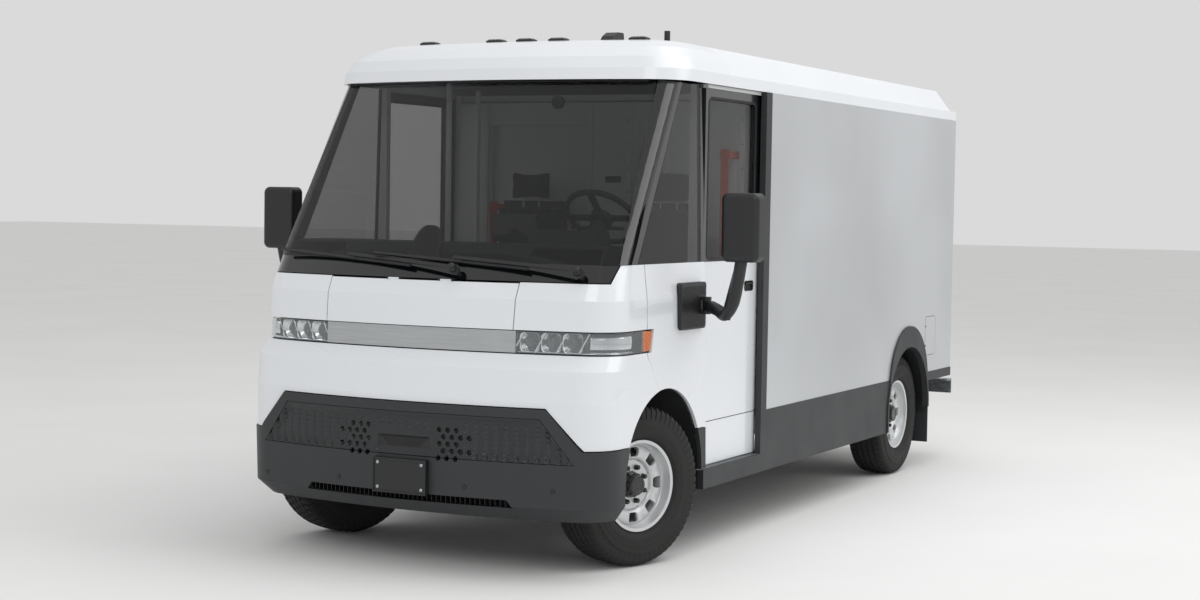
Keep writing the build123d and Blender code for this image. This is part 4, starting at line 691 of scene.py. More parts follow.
def tyre_part(sizes):
    """A tyre about the X axis, with grooved tread blocks, shoulder lugs and ringed walls."""
    outer = [(0.094, 0.215), (0.0945, 0.232), (0.1, 0.238), (0.1085, 0.243), (0.112, 0.247), (0.1145, 0.252),
             (0.1185, 0.262), (0.1205, 0.272), (0.1205, 0.2745), (0.1222, 0.276), (0.1222, 0.279),
             (0.1212, 0.2805), (0.1222, 0.292), (0.1222, 0.304), (0.1214, 0.305), (0.1214, 0.329),
             (0.122, 0.33), (0.1215, 0.333), (0.1195, 0.334), (0.118, 0.342), (0.1165, 0.352),
             (0.1155, 0.361), (0.115, 0.37), (0.1115, 0.379), (0.107, 0.386), (0.1, 0.3915), (0.092, 0.3945),
             (0.085, 0.3962)]
    crown = [0.0815, 0.0795, 0.073, 0.068, 0.0615, 0.0595, 0.0545, 0.0525, 0.044, 0.035, 0.0235, 0.0215,
             0.0165, 0.0145, 0.007, 0.0]
    half = outer + [(x, 0.4 - 0.0038 * (x / 0.085) ** 2) for x in crown]
    profile = half + [(-x, r) for x, r in reversed(half[:-1])]
    inside = [(-0.08, 0.215), (-0.098, 0.262), (-0.1, 0.33), (-0.07, 0.372), (0.0, 0.376), (0.07, 0.372),
              (0.1, 0.33), (0.098, 0.262), (0.08, 0.215)]
    phases = (0.0, 0.07, 0.1, 0.46, 0.5, 0.57, 0.6, 0.96)
    depth = sizes.tread_depth
    verts, faces = [], []
    ring = profile + inside
    n = len(ring)
    count = sizes.tread_pitches * len(phases)
    for pitch in range(sizes.tread_pitches):
        for step, phase in enumerate(phases):
            for index, (x, r) in enumerate(ring):
                width = abs(x)
                slant = phase + (0.35 if x > 0 else -0.35) * width / 0.1
                a = tau * (pitch + slant) / sizes.tread_pitches
                if index < len(profile):
                    if r > 0.3955 and (0.0525 <= width <= 0.0615 or 0.0145 <= width <= 0.0235):
                        inner = 0.0545 <= width <= 0.0595 or 0.0165 <= width <= 0.0215
                        r -= depth if inner else 0.0
                    elif r > 0.372:
                        lug = step in ((5, 6) if 0.0235 < width <= 0.06 else (1, 2))
                        fine = step in (4, 5) and width > 0.0815
                        if lug:
                            r -= depth * (1.0 if width > 0.06 else 0.6)
                        elif fine:
                            r -= 0.002
                    elif 0.333 < r < 0.372 and step in (1, 2):
                        x -= 0.004 if x > 0 else -0.004
                    elif 0.2805 < r < 0.3045 and step in (0, 4):
                        x -= 0.0006 if x > 0 else -0.0006
                verts.append(Vector((x, r * cos(a), r * sin(a))))
    for k in range(count):
        here, there = k * n, (k + 1) % count * n
        for i in range(n):
            j = (i + 1) % n
            faces.append((here + i, here + j, there + j, there + i))
    return verts, faces


WINDOWS, WINDOW_RADIUS = 8, 0.164
STUDS, STUD_CIRCLE = 8, 0.09
BOLTS, BOLT_CIRCLE = 12, 0.0558


def window_ring(steps):
    """Rounded trapezoid of a wheel window: (radius, half width) corners walked round."""
    base = [(0.188, -0.032), (0.188, 0.032), (0.1405, 0.0245), (0.1405, -0.0245)]
    out = []
    corner = 0.014
    for k in range(4):
        here = Vector(base[k])
        before = (Vector(base[k - 1]) - here).normalized()
        after = (Vector(base[(k + 1) % 4]) - here).normalized()
        for s in range(steps + 1):
            t = s / steps
            p = here + before * corner * (1 - t) ** 2 + after * corner * t ** 2
            out.append((p.x, p.y))
    return out


def disc_depth(r):
    """How far the face of the wheel disc stands out from the middle of the tyre."""
    stops = ((0.058, 0.020), (0.066, 0.026), (0.11, 0.026), (0.122, 0.030), (0.134, 0.047), (0.150, 0.055),
             (0.182, 0.056), (0.194, 0.050), (0.203, 0.036), (0.2075, 0.024))
    if r <= stops[0][0]:
        return stops[0][1]
    for (r0, d0), (r1, d1) in zip(stops, stops[1:]):
        if r <= r1:
            t = (r - r0) / (r1 - r0)
            t = t * t * (3 - 2 * t)
            return d0 + (d1 - d0) * t
    return stops[-1][1]


def rim_parts():
    """The flanged barrel, and the pressed disc with eight lipped windows."""
    barrel = turned([(0.1, 0.2275), (0.1, 0.222), (0.097, 0.2125), (0.055, 0.2085), (0.048, 0.2015),
                     (0.03, 0.19), (-0.03, 0.189), (-0.048, 0.2015), (-0.055, 0.2085), (-0.097, 0.2125),
                     (-0.1, 0.2275), (-0.0935, 0.2275), (-0.092, 0.2165), (-0.05, 0.2135), (-0.028, 0.194),
                     (0.028, 0.194), (0.05, 0.2135), (0.092, 0.2165), (0.0935, 0.2275), (0.0965, 0.2285)], 96,
                     closed=True)
    parts = []
    contour = window_ring(5)
    for sector in range(WINDOWS):
        middle = tau * sector / WINDOWS
        rings = []
        for shrink, back in ((0.0, 0.016), (0.0, 0.006), (0.0006, 0.0022), (0.0022, 0.0)):
            ring = []
            for r, w in contour:
                rr = r + (r - WINDOW_RADIUS) / 0.022 * shrink * 1.3
                ww = w + (1 if w > 0 else -1) * shrink
                a = middle + ww / rr
                ring.append(Vector((disc_depth(rr) - back, rr * cos(a), rr * sin(a))))
            rings.append(ring)
        for t in (0.12, 0.3, 0.52, 0.76, 1.0):
            ring = []
            for r, w in contour:
                a0, dr = w / r, r - WINDOW_RADIUS
                reach_r = 0.0435 if dr > 0 else 0.042
                box = max(abs(dr) / reach_r, abs(a0) / (pi / WINDOWS))
                tr = WINDOW_RADIUS + dr / box
                ta = a0 / box
                rr = r + (tr - r) * t
                aa = a0 + (ta - a0) * t
                ring.append(Vector((disc_depth(rr), rr * cos(middle + aa), rr * sin(middle + aa))))
            rings.append(ring)
        parts.append(loops(rings, caps=(False, False)))
    return barrel, joined(parts)


def centre_disc():
    """The bowl-shaped middle of the wheel disc, from the hub seat to the windows."""
    radii = [0.058, 0.062, 0.066, 0.075, 0.09, 0.104, 0.11, 0.114, 0.118, 0.122]
    return turned([(disc_depth(r), r) for r in radii], 96)


def hub_part():
    """Black hub with a stepped cap, eight capped nuts and a ring of bolts."""
    cap = turned([(-0.03, 0.0), (-0.03, 0.11), (0.004, 0.112), (0.0265, 0.111), (0.0275, 0.108),
                  (0.0275, 0.068), (0.034, 0.0655), (0.040, 0.0625), (0.056, 0.0605), (0.0575, 0.0585),
                  (0.0575, 0.053), (0.074, 0.051), (0.083, 0.0475), (0.0845, 0.045), (0.0845, 0.034),
                  (0.0825, 0.032), (0.0825, 0.0)], 64)
    parts = [cap]
    for k in range(STUDS):
        a = tau * (k + 0.5) / STUDS
        nut = turned([(0.026, 0.0), (0.026, 0.0165), (0.0295, 0.0165), (0.031, 0.0135), (0.049, 0.0135),
                      (0.052, 0.0125), (0.056, 0.0085), (0.0575, 0.0)], 6)
        parts.append(moved(nut, Matrix.Translation((0, STUD_CIRCLE * cos(a), STUD_CIRCLE * sin(a)))))
    for k in range(BOLTS):
        a = tau * k / BOLTS
        bolt = turned([(0.0565, 0.0), (0.0565, 0.0055), (0.0615, 0.0055), (0.0625, 0.0045), (0.0625, 0.0)], 6)
        parts.append(moved(bolt, Matrix.Translation((0, BOLT_CIRCLE * cos(a), BOLT_CIRCLE * sin(a)))))
    rotor = turned([(-0.058, 0.0), (-0.058, 0.166), (-0.035, 0.166), (-0.034, 0.11), (-0.034, 0.0)], 64)
    parts.append(rotor)
    return joined(parts)


# ------------------------------------------------------------------ operators
class TruckOperator:
    """What every operator of the truck shares."""
    bl_options = {"REGISTER"}

    def execute(self, context):
        self.build(context.scene.truck_sizes)
        return {"FINISHED"}


CARRIED = {
    "front_bumper": "charcoal_plastic", "bumper_trim": "black_plastic", "front_fascia": "white_paint",
    "cab_panels": "white_paint", "hood_panel": "white_paint", "left_door": "door_paint",
    "right_door": "door_paint", "rear_left_door": "white_paint", "rear_right_door": "white_paint",
    "charge_door": "side_skin", "windscreen_surround": "black_gloss", "cab_glass": "tinted_glass",
    "left_door_glass": "door_glazing", "right_door_glass": "door_glazing", "grille_bar": "brushed",
    "headlamps": "bright_trim", "headlamp_lenses": "clear_lens", "marker_lamps": "amber_lens",
    "roof_shell": "white_grp", "outer_fittings": "black_plastic", "ladder_frame": "frame_steel",
    "nose_frame": "frame_steel", "battery_pack": "aluminium_case", "axles_and_springs": "casting",
    "wheel_housings": "black_plastic", "cab_floor": "interior_dark", "dashboard": "interior_dark",
    "cargo_floor": "floor_ply", "cargo_sides": "side_skin", "side_skirts": "charcoal_plastic",
    "charge_pocket": "black_plastic", "body_frame": "light_panel", "tail_lamps": "red_lens",
    "rear_bumper": "galvanised", "bulkhead": "light_panel", "bulkhead_door": "light_panel",
    "rear_handle": "black_plastic", "seat_frames": "interior_dark", "seat_pads": "seat_fabric",
    "folding_seat": "seat_fabric", "seat_belts": "webbing", "left_mirror_head": "black_plastic",
    "right_mirror_head": "black_plastic", "left_mirror_glass": "mirror_plate",
    "right_mirror_glass": "mirror_plate", "driver_wiper": "black_plastic", "passenger_wiper": "black_plastic",
    "steering_wheel": "interior_dark", "accelerator_pedal": "black_plastic", "brake_pedal": "black_plastic",
    "front_left_knuckle": "casting", "front_right_knuckle": "casting", }


class TRUCK_OT_finishes(TruckOperator, bpy.types.Operator):
    """Give every carried-over CAD part its finish"""
    bl_idname = "truck.finishes"
    bl_label = "Carried-over parts"

    def build(self, sizes):
        for name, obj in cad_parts.items():
            key = CARRIED.get(name)
            if key is None:
                key = "tyre_rubber" if name.endswith("tyre") else "wheel_paint"
            obj.data.materials.clear()
            obj.data.materials.append(finish(key))
            data = obj.data
            data.polygons.foreach_set("use_smooth", [True] * len(data.polygons))
            data.set_sharp_from_angle(angle=radians(32))


class TRUCK_OT_wheels(TruckOperator, bpy.types.Operator):
    """Build the tyres, pressed wheels and hubs"""
    bl_idname = "truck.wheels"
    bl_label = "Wheels"

    def build(self, sizes):
        tyre = tyre_part(sizes)
        barrel, disc = rim_parts()
        rim = joined([barrel, disc, centre_disc()])
        hub = hub_part()
        for end, word, side, y in WHEELS:
            body = f"{end}_{word}_road_wheel"
            place = wheel_place(end, side, y)
            rubber = piece(f"{end}_{word}_grooved_tyre", *moved(tyre, place), body, "tyre_rubber",
                           "tyre_rubber", 30)
            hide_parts(f"{end}_{word}_tyre")
            steel = piece(f"{end}_{word}_pressed_wheel", *moved(rim, place), body, "wheel_paint",
                          "wheel_paint", 50)
            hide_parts(f"{end}_{word}_wheel")
            black = piece(f"{end}_{word}_hub", *moved(hub, place), body, "wheel_paint", "hub_black", 35,
                          bevel=0.0008)
            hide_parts(f"{end}_{word}_wheel")


FIELD_TOP, FIELD_LOW = 0.7725, 0.5625
FIELD_TOP_X, FIELD_LOW_X = 0.7235, 0.8865
FIELD_DEPTH = 0.012
POCKET = (0.150, 0.575, 0.655)


class TRUCK_OT_bumper(TruckOperator, bpy.types.Operator):
    """Build the dimpled panel of the front bumper, its pocket, holes and screws"""
    bl_idname = "truck.bumper"
    bl_label = "Bumper panel"

    def build(self, sizes):
        holes = []
        for side in (-1, 1):
            for row in range(5):
                for column in range(3 + row % 2):
                    holes.append((side * (0.203 + (column + 0.5 * (row % 2)) * 0.046), 0.560 + row * 0.034))
        dimples = []
        row, z = 0, FIELD_LOW + 0.014
        while z < FIELD_TOP - 0.035:
            x = -0.9 + (row % 2) * sizes.dimple_pitch / 2
            while x < 0.9:
                clear = all(hypot(x - hx, z - hz) > 0.03 for hx, hz in holes)
                if clear and not (abs(x) < 0.175 and POCKET[1] - 0.02 < z < POCKET[2] + 0.02):
                    dimples.append((x, z))
                x += sizes.dimple_pitch / 2
            row += 1
            z += sizes.dimple_row
        columns, rows = 420, 52

        def place(i, j):
            v = j / rows
            z = FIELD_LOW + (FIELD_TOP - FIELD_LOW) * v
            wide = FIELD_LOW_X + (FIELD_TOP_X - FIELD_LOW_X) * v
            x = wide * (2 * i / columns - 1)
            rim = min((FIELD_TOP - z) / 0.034, (wide - abs(x)) / 0.06, 1.0)
            rim = max(rim, 0.0)
            fade = min(1.0, (z - FIELD_LOW) / 0.05)
            sink = 0.0007 + FIELD_DEPTH * rim * rim * (3 - 2 * rim) * (0.15 + 0.85 * fade)
            for dx, dz in dimples:
                if abs(x - dx) < 0.016 and abs(z - dz) < 0.016:
                    far = hypot(x - dx, (z - dz) * 1.1) / sizes.dimple_radius
                    if far < 1:
                        sink += sizes.dimple_depth * (1 - far * far) ** 0.5
                    elif far < 1.3:
                        sink -= 0.0015 * (1.3 - far) / 0.3
            # Each hole is a closed cup 16 mm deep. Its black finish, set below, is painted shade that stands
            # in for a through hole.
            for hx, hz in holes:
                if abs(x - hx) < 0.016 and abs(z - hz) < 0.016:
                    far = hypot(x - hx, z - hz) / 0.0125
                    if far < 1:
                        sink += 0.016 * min(1.0, (1 - far) / 0.25)
            if abs(x) < POCKET[0] and POCKET[1] < z < POCKET[2]:
                edge = min((POCKET[0] - abs(x)) / 0.008, (POCKET[2] - z) / 0.006, (z - POCKET[1]) / 0.026,
                           1.0)
                sink = max(sink, 0.0105 * edge + FIELD_DEPTH)
            point, _ = on_nose(BUMPER, z, BOW * asin(x / BOW), sink)
            return point

        panel = sheet(columns, rows, place)
        # Painted shade: the hole cups and the pocket floor take the black seal finish, so the holes read as
        # shaded openings and the pocket as a shaded recess.
        dark = []
        for face in panel[1]:
            middle = sum((Vector(panel[0][i]) for i in face), Vector()) / 4
            in_hole = any(hypot(middle.x - hx, middle.z - hz) < 0.0115 for hx, hz in holes)
            in_pocket = abs(middle.x) < POCKET[0] - 0.006 and POCKET[1] + 0.024 < middle.z < POCKET[2] - 0.005
            dark.append(int(in_hole or in_pocket))
        piece("dimpled_bumper_panel", *panel, "chassis", "charcoal_plastic", ["satin", "seal"], 60,
              face_keys=dark, thick=0.0006)
        fins = []
        for k in range(43):
            x = -0.546 + 0.026 * k
            back = on_nose(BUMPER, 0.36, BOW * asin(x / BOW), 0.05)[0].y
            fins.append(slab((x - 0.0015, back - 0.032, 0.345), (x + 0.0015, back, 0.379)))
        # Painted shade: a black sheet behind the fins, so the open intake reads dark instead of showing the
        # floor below.
        shade_backing = sheet(48, 2, lambda i, j: on_nose(BUMPER, 0.336 + 0.05 * j / 2, 1.2 * (i / 48 - 0.5),
                                                    0.048)[0])
        piece("intake_fins_and_painted_shade", *joined([*fins, shade_backing]), "chassis", "charcoal_plastic", "seal", 30)

        screws = []
        for x, z in ((-0.125, 0.520), (0.125, 0.520), (-0.125, 0.400), (0.125, 0.400)):
            head = turned([(0.0, 0.0), (0.0, 0.0085), (0.0025, 0.0085), (0.0045, 0.006), (0.0048, 0.003),
                           (0.003, 0.0)], 12)
            turn = Matrix.Rotation(-pi / 2, 4, "Z")
            screws.append(moved(head, Matrix.Translation((x, -2.9041, z)) @ turn))
        piece("plate_screws", *joined(screws), "chassis", "galvanised", "screw")

        discs = []
        for x, z in ((-0.877, 0.40), (-0.38, 0.424), (0.345, 0.431), (0.79, 0.435)):
            point, out = on_nose(BUMPER, z, BOW * asin(x / BOW), 0.0)
            turn = Matrix.Rotation(atan2(out.y, out.x), 4, "Z")
            disc = turned([(-0.003, 0.0), (-0.003, 0.0125), (0.0008, 0.0125), (0.0012, 0.0115),
                           (0.0002, 0.0108), (0.0002, 0.0095), (0.0018, 0.009), (0.002, 0.0)], 32)
            discs.append(moved(disc, Matrix.Translation(point) @ turn))
        piece("parking_sensors", *joined(discs), "chassis", "black_plastic", "black_plastic")


class TRUCK_OT_lamps(TruckOperator, bpy.types.Operator):
    """Build the headlamp chambers, corner lamps and roof clearance lamps"""
    bl_idname = "truck.lamps"
    bl_label = "Lamps"

    def build(self, sizes):
        low, high = LAMP_LOW, LAMP_HIGH
        chrome, eyes, dark = [], [], []
        for side in (-1, 1):
            def face(travel, z, sink):
                return on_nose(LAMPS, z, side * travel, sink)[0]

            # back wall, shelf and roof of the channel
            steps, start, end = 60, 0.548, 1.22
            for z0, z1, s0, s1 in ((low, high, 0.0405, 0.0405), (low, low, 0.006, 0.04),
                                   (high, high, 0.006, 0.04)):
                dark.append(sheet(steps, 4, lambda i, j, z0=z0, z1=z1, s0=s0, s1=s1: face(
                    start + (end - start) * i / steps, z0 + (z1 - z0) * j / 4, s0 + (s1 - s0) * j / 4)))
            for middle in (0.612, 0.72, 0.828):
                point, out = on_nose(LAMPS, (low + high) / 2, side * middle, 0.0)
                turn = Matrix.Translation(point) @ Matrix.Rotation(atan2(out.y, out.x), 4, "Z")
                rings = []
                for depth, half_w, half_h, corner in ((-0.008, 0.049, 0.0455, 0.02),
                                                      (-0.012, 0.047, 0.044, 0.022),
                                                      (-0.024, 0.04, 0.039, 0.03),
                                                      (-0.034, 0.031, 0.031, 0.0295),
                                                      (-0.036, 0.028, 0.028, 0.027)):
                    rings.append([Vector((depth, w, h)) for w, h in rounded(half_w, half_h, corner)])
                chrome.append(moved(loops(rings, caps=(False, False)), turn))
                lens = turned([(-0.036, 0.0275), (-0.032, 0.0275), (-0.031, 0.0255), (-0.032, 0.0245),
                               (-0.028, 0.0225), (-0.02, 0.017), (-0.016, 0.009), (-0.0148, 0.0)], 32)
                eyes.append(moved(lens, turn))
            # slanted fins between the chambers
            for middle in (0.556, 0.666, 0.774, 0.884):
                bar = []
                for offset in (-0.0035, 0.0035):
                    for sink in (0.009, 0.041):
                        for z, lean in ((low, -0.026), (high, 0.026)):
                            bar.append(face(middle + lean + offset, z, sink))
                chrome.append((bar, [(0, 1, 3, 2), (4, 6, 7, 5), (0, 4, 5, 1), (2, 3, 7, 6), (0, 2, 6, 4),
                                     (1, 5, 7, 3)]))
            # fluted light guide round the corner
            flutes = 96
            chrome.append(sheet(flutes, 6, lambda i, j: face(
                0.915 + 0.285 * i / flutes, low + 0.008 + (high - low - 0.016) * j / 6,
                0.016 + (0.004 if i % 2 else 0.0) + 0.01 * abs(j / 3 - 1) ** 3)))
            chrome.append(sheet(60, 3, lambda i, j: face(0.55 + 0.66 * i / 60, low - 0.0005 + 0.009 * j / 3,
                                                         0.006 + 0.0125 * j / 3)))
        chambers = piece("headlamp_chambers", *joined(chrome), "chassis", "bright_trim", "bright_trim", 25,
                         thick=0.0008)
        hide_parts("headlamps")
        glass = piece("headlamp_projectors", *joined(eyes), "chassis", "bright_trim", "projector", 40)
        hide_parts("headlamps")
        walls = piece("headlamp_dark_walls", *joined(dark), "chassis", "bright_trim", "black_gloss", 25,
                      thick=0.0008)
        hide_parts("headlamps")

        bases, lenses = [], []
        for x, y in ((-0.19, -1.691), (0.0, -1.701), (0.19, -1.691), (-0.64, -1.641), (0.64, -1.641)):
            shape = rounded(0.054, 0.029, 0.012)
            top = []
            for lift, scale in ((-0.02, 1.0), (0.004, 1.0), (0.0075, 0.96), (0.0085, 0.88)):
                top.append([Vector((x + a * scale, y + b * scale, ROOF_Z + lift)) for a, b in shape])
            bases.append(loops(top))
            lens = []
            for lift, scale in ((0.006, 0.84), (0.012, 0.82), (0.0148, 0.7), (0.0155, 0.5)):
                lens.append([Vector((x + a * scale, y + b * scale, ROOF_Z + lift)) for a, b in shape])
            lenses.append(loops(lens))
        base = piece("roof_lamp_bases", *joined(bases), "chassis", "black_plastic", "black_plastic")
        cover = piece("roof_lamp_lenses", *joined(lenses), "chassis", "amber_lens", "smoked")
        corners = []
        for side in (-1, 1):
            corners.append(sheet(24, 10, lambda i, j: on_nose(
                LAMPS, 1.078 + 0.098 * j / 10, side * (corner_start(1.078 + 0.098 * j / 10)
                                                       + (0.074 - 0.026 * (1 - j / 10)) * i / 24),
                0.0004 + (0.0012 if i % 2 else 0.0))[0]))
        amber = piece("corner_turn_lenses", *joined(corners), "chassis", "amber_lens", "amber_lens", 20,
                      thick=0.018)
        for obj in (base, cover, amber):
            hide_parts("marker_lamps")


def corner_start(z):
    """How far round the nose the corner lamp begins."""
    half, front, corner = level(LAMPS, z)
    bend = asin((half - corner) / (BOW - corner))
    turn_y = front + BOW - (BOW - corner) * cos(bend)
    return BOW * bend + corner * (pi / 2 - bend) + (-2.3130 - turn_y)


class TRUCK_OT_mirrors(TruckOperator, bpy.types.Operator):
    """Build the honeycomb lattice on the mirror feet and the rims of the mirror heads"""
    bl_idname = "truck.mirrors"
    bl_label = "Mirrors"

    def build(self, sizes):
        cell = sizes.lattice_cell
        for word, side in (("left", 1), ("right", -1)):
            parts = []
            row, z = 0, 1.180
            while z < 1.385:
                y = -1.935 + (row % 2) * cell / 2
                while y < -1.668:
                    if y < -1.745 or not 1.228 < z < 1.332:
                        rings = []
                        for lift, size in ((-0.001, 0.56), (0.0012, 0.55), (0.0012, 0.47), (-0.001, 0.46)):
                            reach, x = cell * size, side * (1.052 + lift)
                            rings.append([Vector((x, y + reach * cos(turn), z + reach * sin(turn)))
                                          for turn in [tau * (k + 0.5) / 6 for k in range(6)]])
                        parts.append(loops(rings, caps=(False, False)))
                    y += cell
                row += 1
                z += cell * 0.866
            piece(f"{word}_mirror_foot_lattice", *joined(parts), "chassis", "black_plastic", "black_plastic",
                  30)
            band = []
            for lift, grow in ((0.0, -0.0075), (0.0022, -0.0055), (0.0022, -0.0015), (0.0, 0.0)):
                band.append([Vector((side * (MIRROR_PLATE[0] + a), MIRROR_PLATE[1] + lift,
                                     MIRROR_PLATE[2] + b))
                             for a, b in rounded(0.1 + grow, 0.17 + grow, 0.034)])
            bend = [Vector(p) for p in ((1.135, -1.766, 1.277), (1.21, -1.85, 1.264), (1.275, -1.92, 1.25),
                                        (1.33, -1.952, 1.31), (1.358, -1.966, 1.41), (1.379, -1.974, 1.52))]
            path = []
            for a, b, c, d in zip([bend[0]] + bend, bend, bend[1:], bend[2:] + [bend[-1]]):
                for k in range(8):
                    t = k / 8
                    path.append((b * 2 + (c - a) * t + (a * 2 - b * 5 + c * 4 - d) * t ** 2
                                 + (b * 3 - a - c * 3 + d) * t ** 3) / 2)
            path.append(bend[-1])
            sleeve = tube(path, 0.031, 20)
            piece(f"{word}_mirror_arm_sleeve", *mirrored(sleeve, side), f"{word}_mirror", "black_plastic",
                  "black_plastic", 50)
            piece(f"{word}_mirror_rim", *loops(band, caps=(False, False)), f"{word}_mirror", "black_plastic",
                  "seal", 40, thick=0.002)


def frame_ring(x0, x1, y0, y1, z0, z1, width, corner):
    """A rounded window gasket round an opening in a side panel."""
    middle_y, middle_z = (y0 + y1) / 2, (z0 + z1) / 2
    half_y, half_z = (y1 - y0) / 2, (z1 - z0) / 2
    rings = []
    for x, grow in ((x0, 0.0), (x1 - (x1 - x0) * 0.3, 0.0), (x1, width * 0.3), (x1, width * 0.8),
                    (x0, width)):
        rings.append([Vector((x, middle_y + a, middle_z + b))
                      for a, b in rounded(half_y + grow, half_z + grow, corner + grow)])
    rings.append(rings[0])
    return loops(rings, caps=(False, False))


class TRUCK_OT_doors(TruckOperator, bpy.types.Operator):
    """Build the door gaskets, pulls, rear lock bars and hinge straps"""
    bl_idname = "truck.doors"
    bl_label = "Doors"

    def build(self, sizes):
        for word, side in (("left", 1), ("right", -1)):
            body = f"{word}_cab_door"
            seal = joined([frame_ring(0.9985, 1.0025, *DOOR_WINDOW, 0.016, 0.03),
                           frame_ring(0.9705, 0.9738, *DOOR_WINDOW, 0.014, 0.03)])
            piece(f"{word}_door_window_gasket", *mirrored(seal, side), body, "black_plastic", "seal")
            cup = []
            for x, grow in ((0.9925, -0.004), (0.9925, 0.0), (1.0005, 0.001), (1.0018, 0.004),
                            (1.0005, 0.0065)):
                cup.append([Vector((x, DOOR_PULL[0] + a, DOOR_PULL[1] + b)) for a,
                            b in rounded(0.057 + grow, 0.022 + grow, 0.016)])
            bar = [Vector((1.0016, -1.013 + 0.104 * k / 12,
                           1.366 + 0.003 * sin(pi * k / 12))) for k in range(13)]
            pull = joined([loops(cup, caps=(True, False)), tube(bar, 0.006)])
            piece(f"{word}_door_pull", *mirrored(pull, side), body, "black_plastic", "black_plastic")
            # Painted shade: a thin black strip stands for the shade in the door's waist crease.
            crease_shade_strip = slab((0.9968, -1.575, 0.6575), (1.0012, -0.845, 0.6605))
            piece(f"{word}_door_crease_painted_shade", *mirrored(crease_shade_strip, side), body, "white_paint", "seal",
                  bevel=0.0008)
        # the two leaves at the back; only the right one carries the lock bar
        for word, side in (("left", 1), ("right", -1)):
            body = f"rear_{word}_leaf"
            face, x, black = LEAF_FACE_Y, LOCK_BAR_X, []
            if word == "right":
                bar = tube([(x, face + 0.016, 0.72), (x, face + 0.016, 2.27)], 0.0095, 16)
                piece("rear_right_lock_bar", *bar, body, "galvanised", "screw")
                for z in (0.80, 1.15, 1.85, 2.20):
                    black.append(slab((x - 0.028, face, z - 0.02), (x + 0.028, face + 0.028, z + 0.02)))
                for z in (0.715, 2.275):
                    black.append(slab((x - 0.016, face + 0.004, z - 0.022),
                                      (x + 0.016, face + 0.03, z + 0.022)))
            for z in (0.82, 1.5, 2.18):
                strap = sheet(14, 4, lambda i, j, z=z: Vector((side * (0.90 - 0.26 * i / 14),
                                                               face + 0.0005 + 0.0035 * sin(
                    pi * j / 4) ** 0.5 * min(1, (14 - i) / 1.5),
                    z - 0.022 + 0.044 * j / 4 * (1 - 0.35 * i / 14) + 0.0077 * i / 14)))
                black.append(strap)
                for k in range(3):
                    bolt = turned([(0.0, 0.0), (0.0, 0.009), (0.003, 0.009), (0.0045, 0.007), (0.005, 0.0)],
                                  6)
                    black.append(moved(bolt, Matrix.Translation((side * (0.88 - 0.085 * k), face + 0.003, z))
                                       @ Matrix.Rotation(pi / 2, 4, "Z")))
            piece(f"rear_{word}_hinge_straps", *joined(black), body, "black_plastic", "black_plastic", 35)
            panel = []
            for z0, z1 in ((0.70, 1.40), (1.56, 2.28)):
                rings = []
                for lift, grow in ((0.0, 0.0), (0.0018, -0.004), (0.0018, -0.016), (0.0003, -0.02)):
                    rings.append([Vector((side * 0.475 + a, face + lift, (z0 + z1) / 2 + b))
                                  for a, b in rounded(0.36 + grow, (z1 - z0) / 2 + grow, 0.04)])
                rings.append(rings[0])
                panel.append(loops(rings, caps=(False, False)))
            piece(f"rear_{word}_pressed_swage", *joined(panel), body, "white_paint", "white_paint", 50)


def mirrored(part, side):
    """The part itself on the left, or its mirror image on the right."""
    if side > 0:
        return part
    return [Vector((-v[0], v[1], v[2])) for v in part[0]], part[1]


class TRUCK_OT_wipers(TruckOperator, bpy.types.Operator):
    """Build the wiper pivots' caps and collars, and the sensor pod behind the glass"""
    bl_idname = "truck.wipers"
    bl_label = "Wipers and sensors"

    def build(self, sizes):
        for which, x, turn_x in (("driver", 0.84, 0.24), ("passenger", 0.21, -0.37)):
            normal = Vector((cos(GLASS_LEAN) * turn_x / BOW, -cos(GLASS_LEAN), sin(GLASS_LEAN)))
            turn = normal.to_track_quat("X", "Z").to_matrix().to_4x4()
            cap = turned([(0.0, 0.0), (0.0, 0.0165), (0.0055, 0.0165), (0.0105, 0.013), (0.0125, 0.006),
                          (0.0128, 0.0)], 32)
            base = wiper_pivot(x, turn_x, normal)
            cap = moved(cap, Matrix.Translation(base + normal * 0.0195) @ turn)
            piece(f"{which}_wiper_cap", *cap, f"{which}_wiper_arm", "black_plastic", "black_plastic")
            collar = turned([(-0.02, 0.0265), (-0.008, 0.0265), (-0.002, 0.0245), (-0.001, 0.0155),
                             (-0.02, 0.0155)], 32,
                            closed=True)
            piece(f"{which}_wiper_collar", *moved(collar, Matrix.Translation(base) @ turn), "chassis",
                  "black_plastic", "seal")
        # sensor pod: a rounded cowl against the foot of the glass
        rings = []
        for z, half, deep in ((1.512, 0.096, 0.075), (1.55, 0.094, 0.075), (1.60, 0.082, 0.068),
                              (1.645, 0.062, 0.056), (1.665, 0.040, 0.040), (1.672, 0.016, 0.02)):
            ring = []
            for k in range(24):
                a = tau * k / 24
                x = -0.055 + half * cos(a)
                front = on_nose(GLASS, z, x, 0.012)[0].y
                ring.append(Vector((x, front + deep * (0.5 + 0.5 * sin(a)), z)))
            rings.append(ring)
        piece("windscreen_sensor_pod", *loops(rings), "chassis", "black_plastic", "black_plastic", 50)
        point = on_nose(GLASS, 2.30, 0.43, 0.03)[0]
        head = moved(turned([(-0.012, 0.0), (-0.012, 0.034), (0.004, 0.034), (0.012, 0.028), (0.014, 0.0)],
                            32),
                     Matrix.Translation(point) @ Matrix.Rotation(-pi / 2, 4, "Z"))
        piece("rain_sensor", *head, "chassis", "black_plastic", "black_plastic")
        # moulded drip bead between the glass and the brow
        bead = [on_nose(GLASS, 2.4085, t, -0.001)[0] for t in [-0.88 + 1.76 * k / 60 for k in range(61)]]
        piece("windscreen_top_bead", *tube(bead, 0.004, 8), "chassis", "black_plastic", "seal")


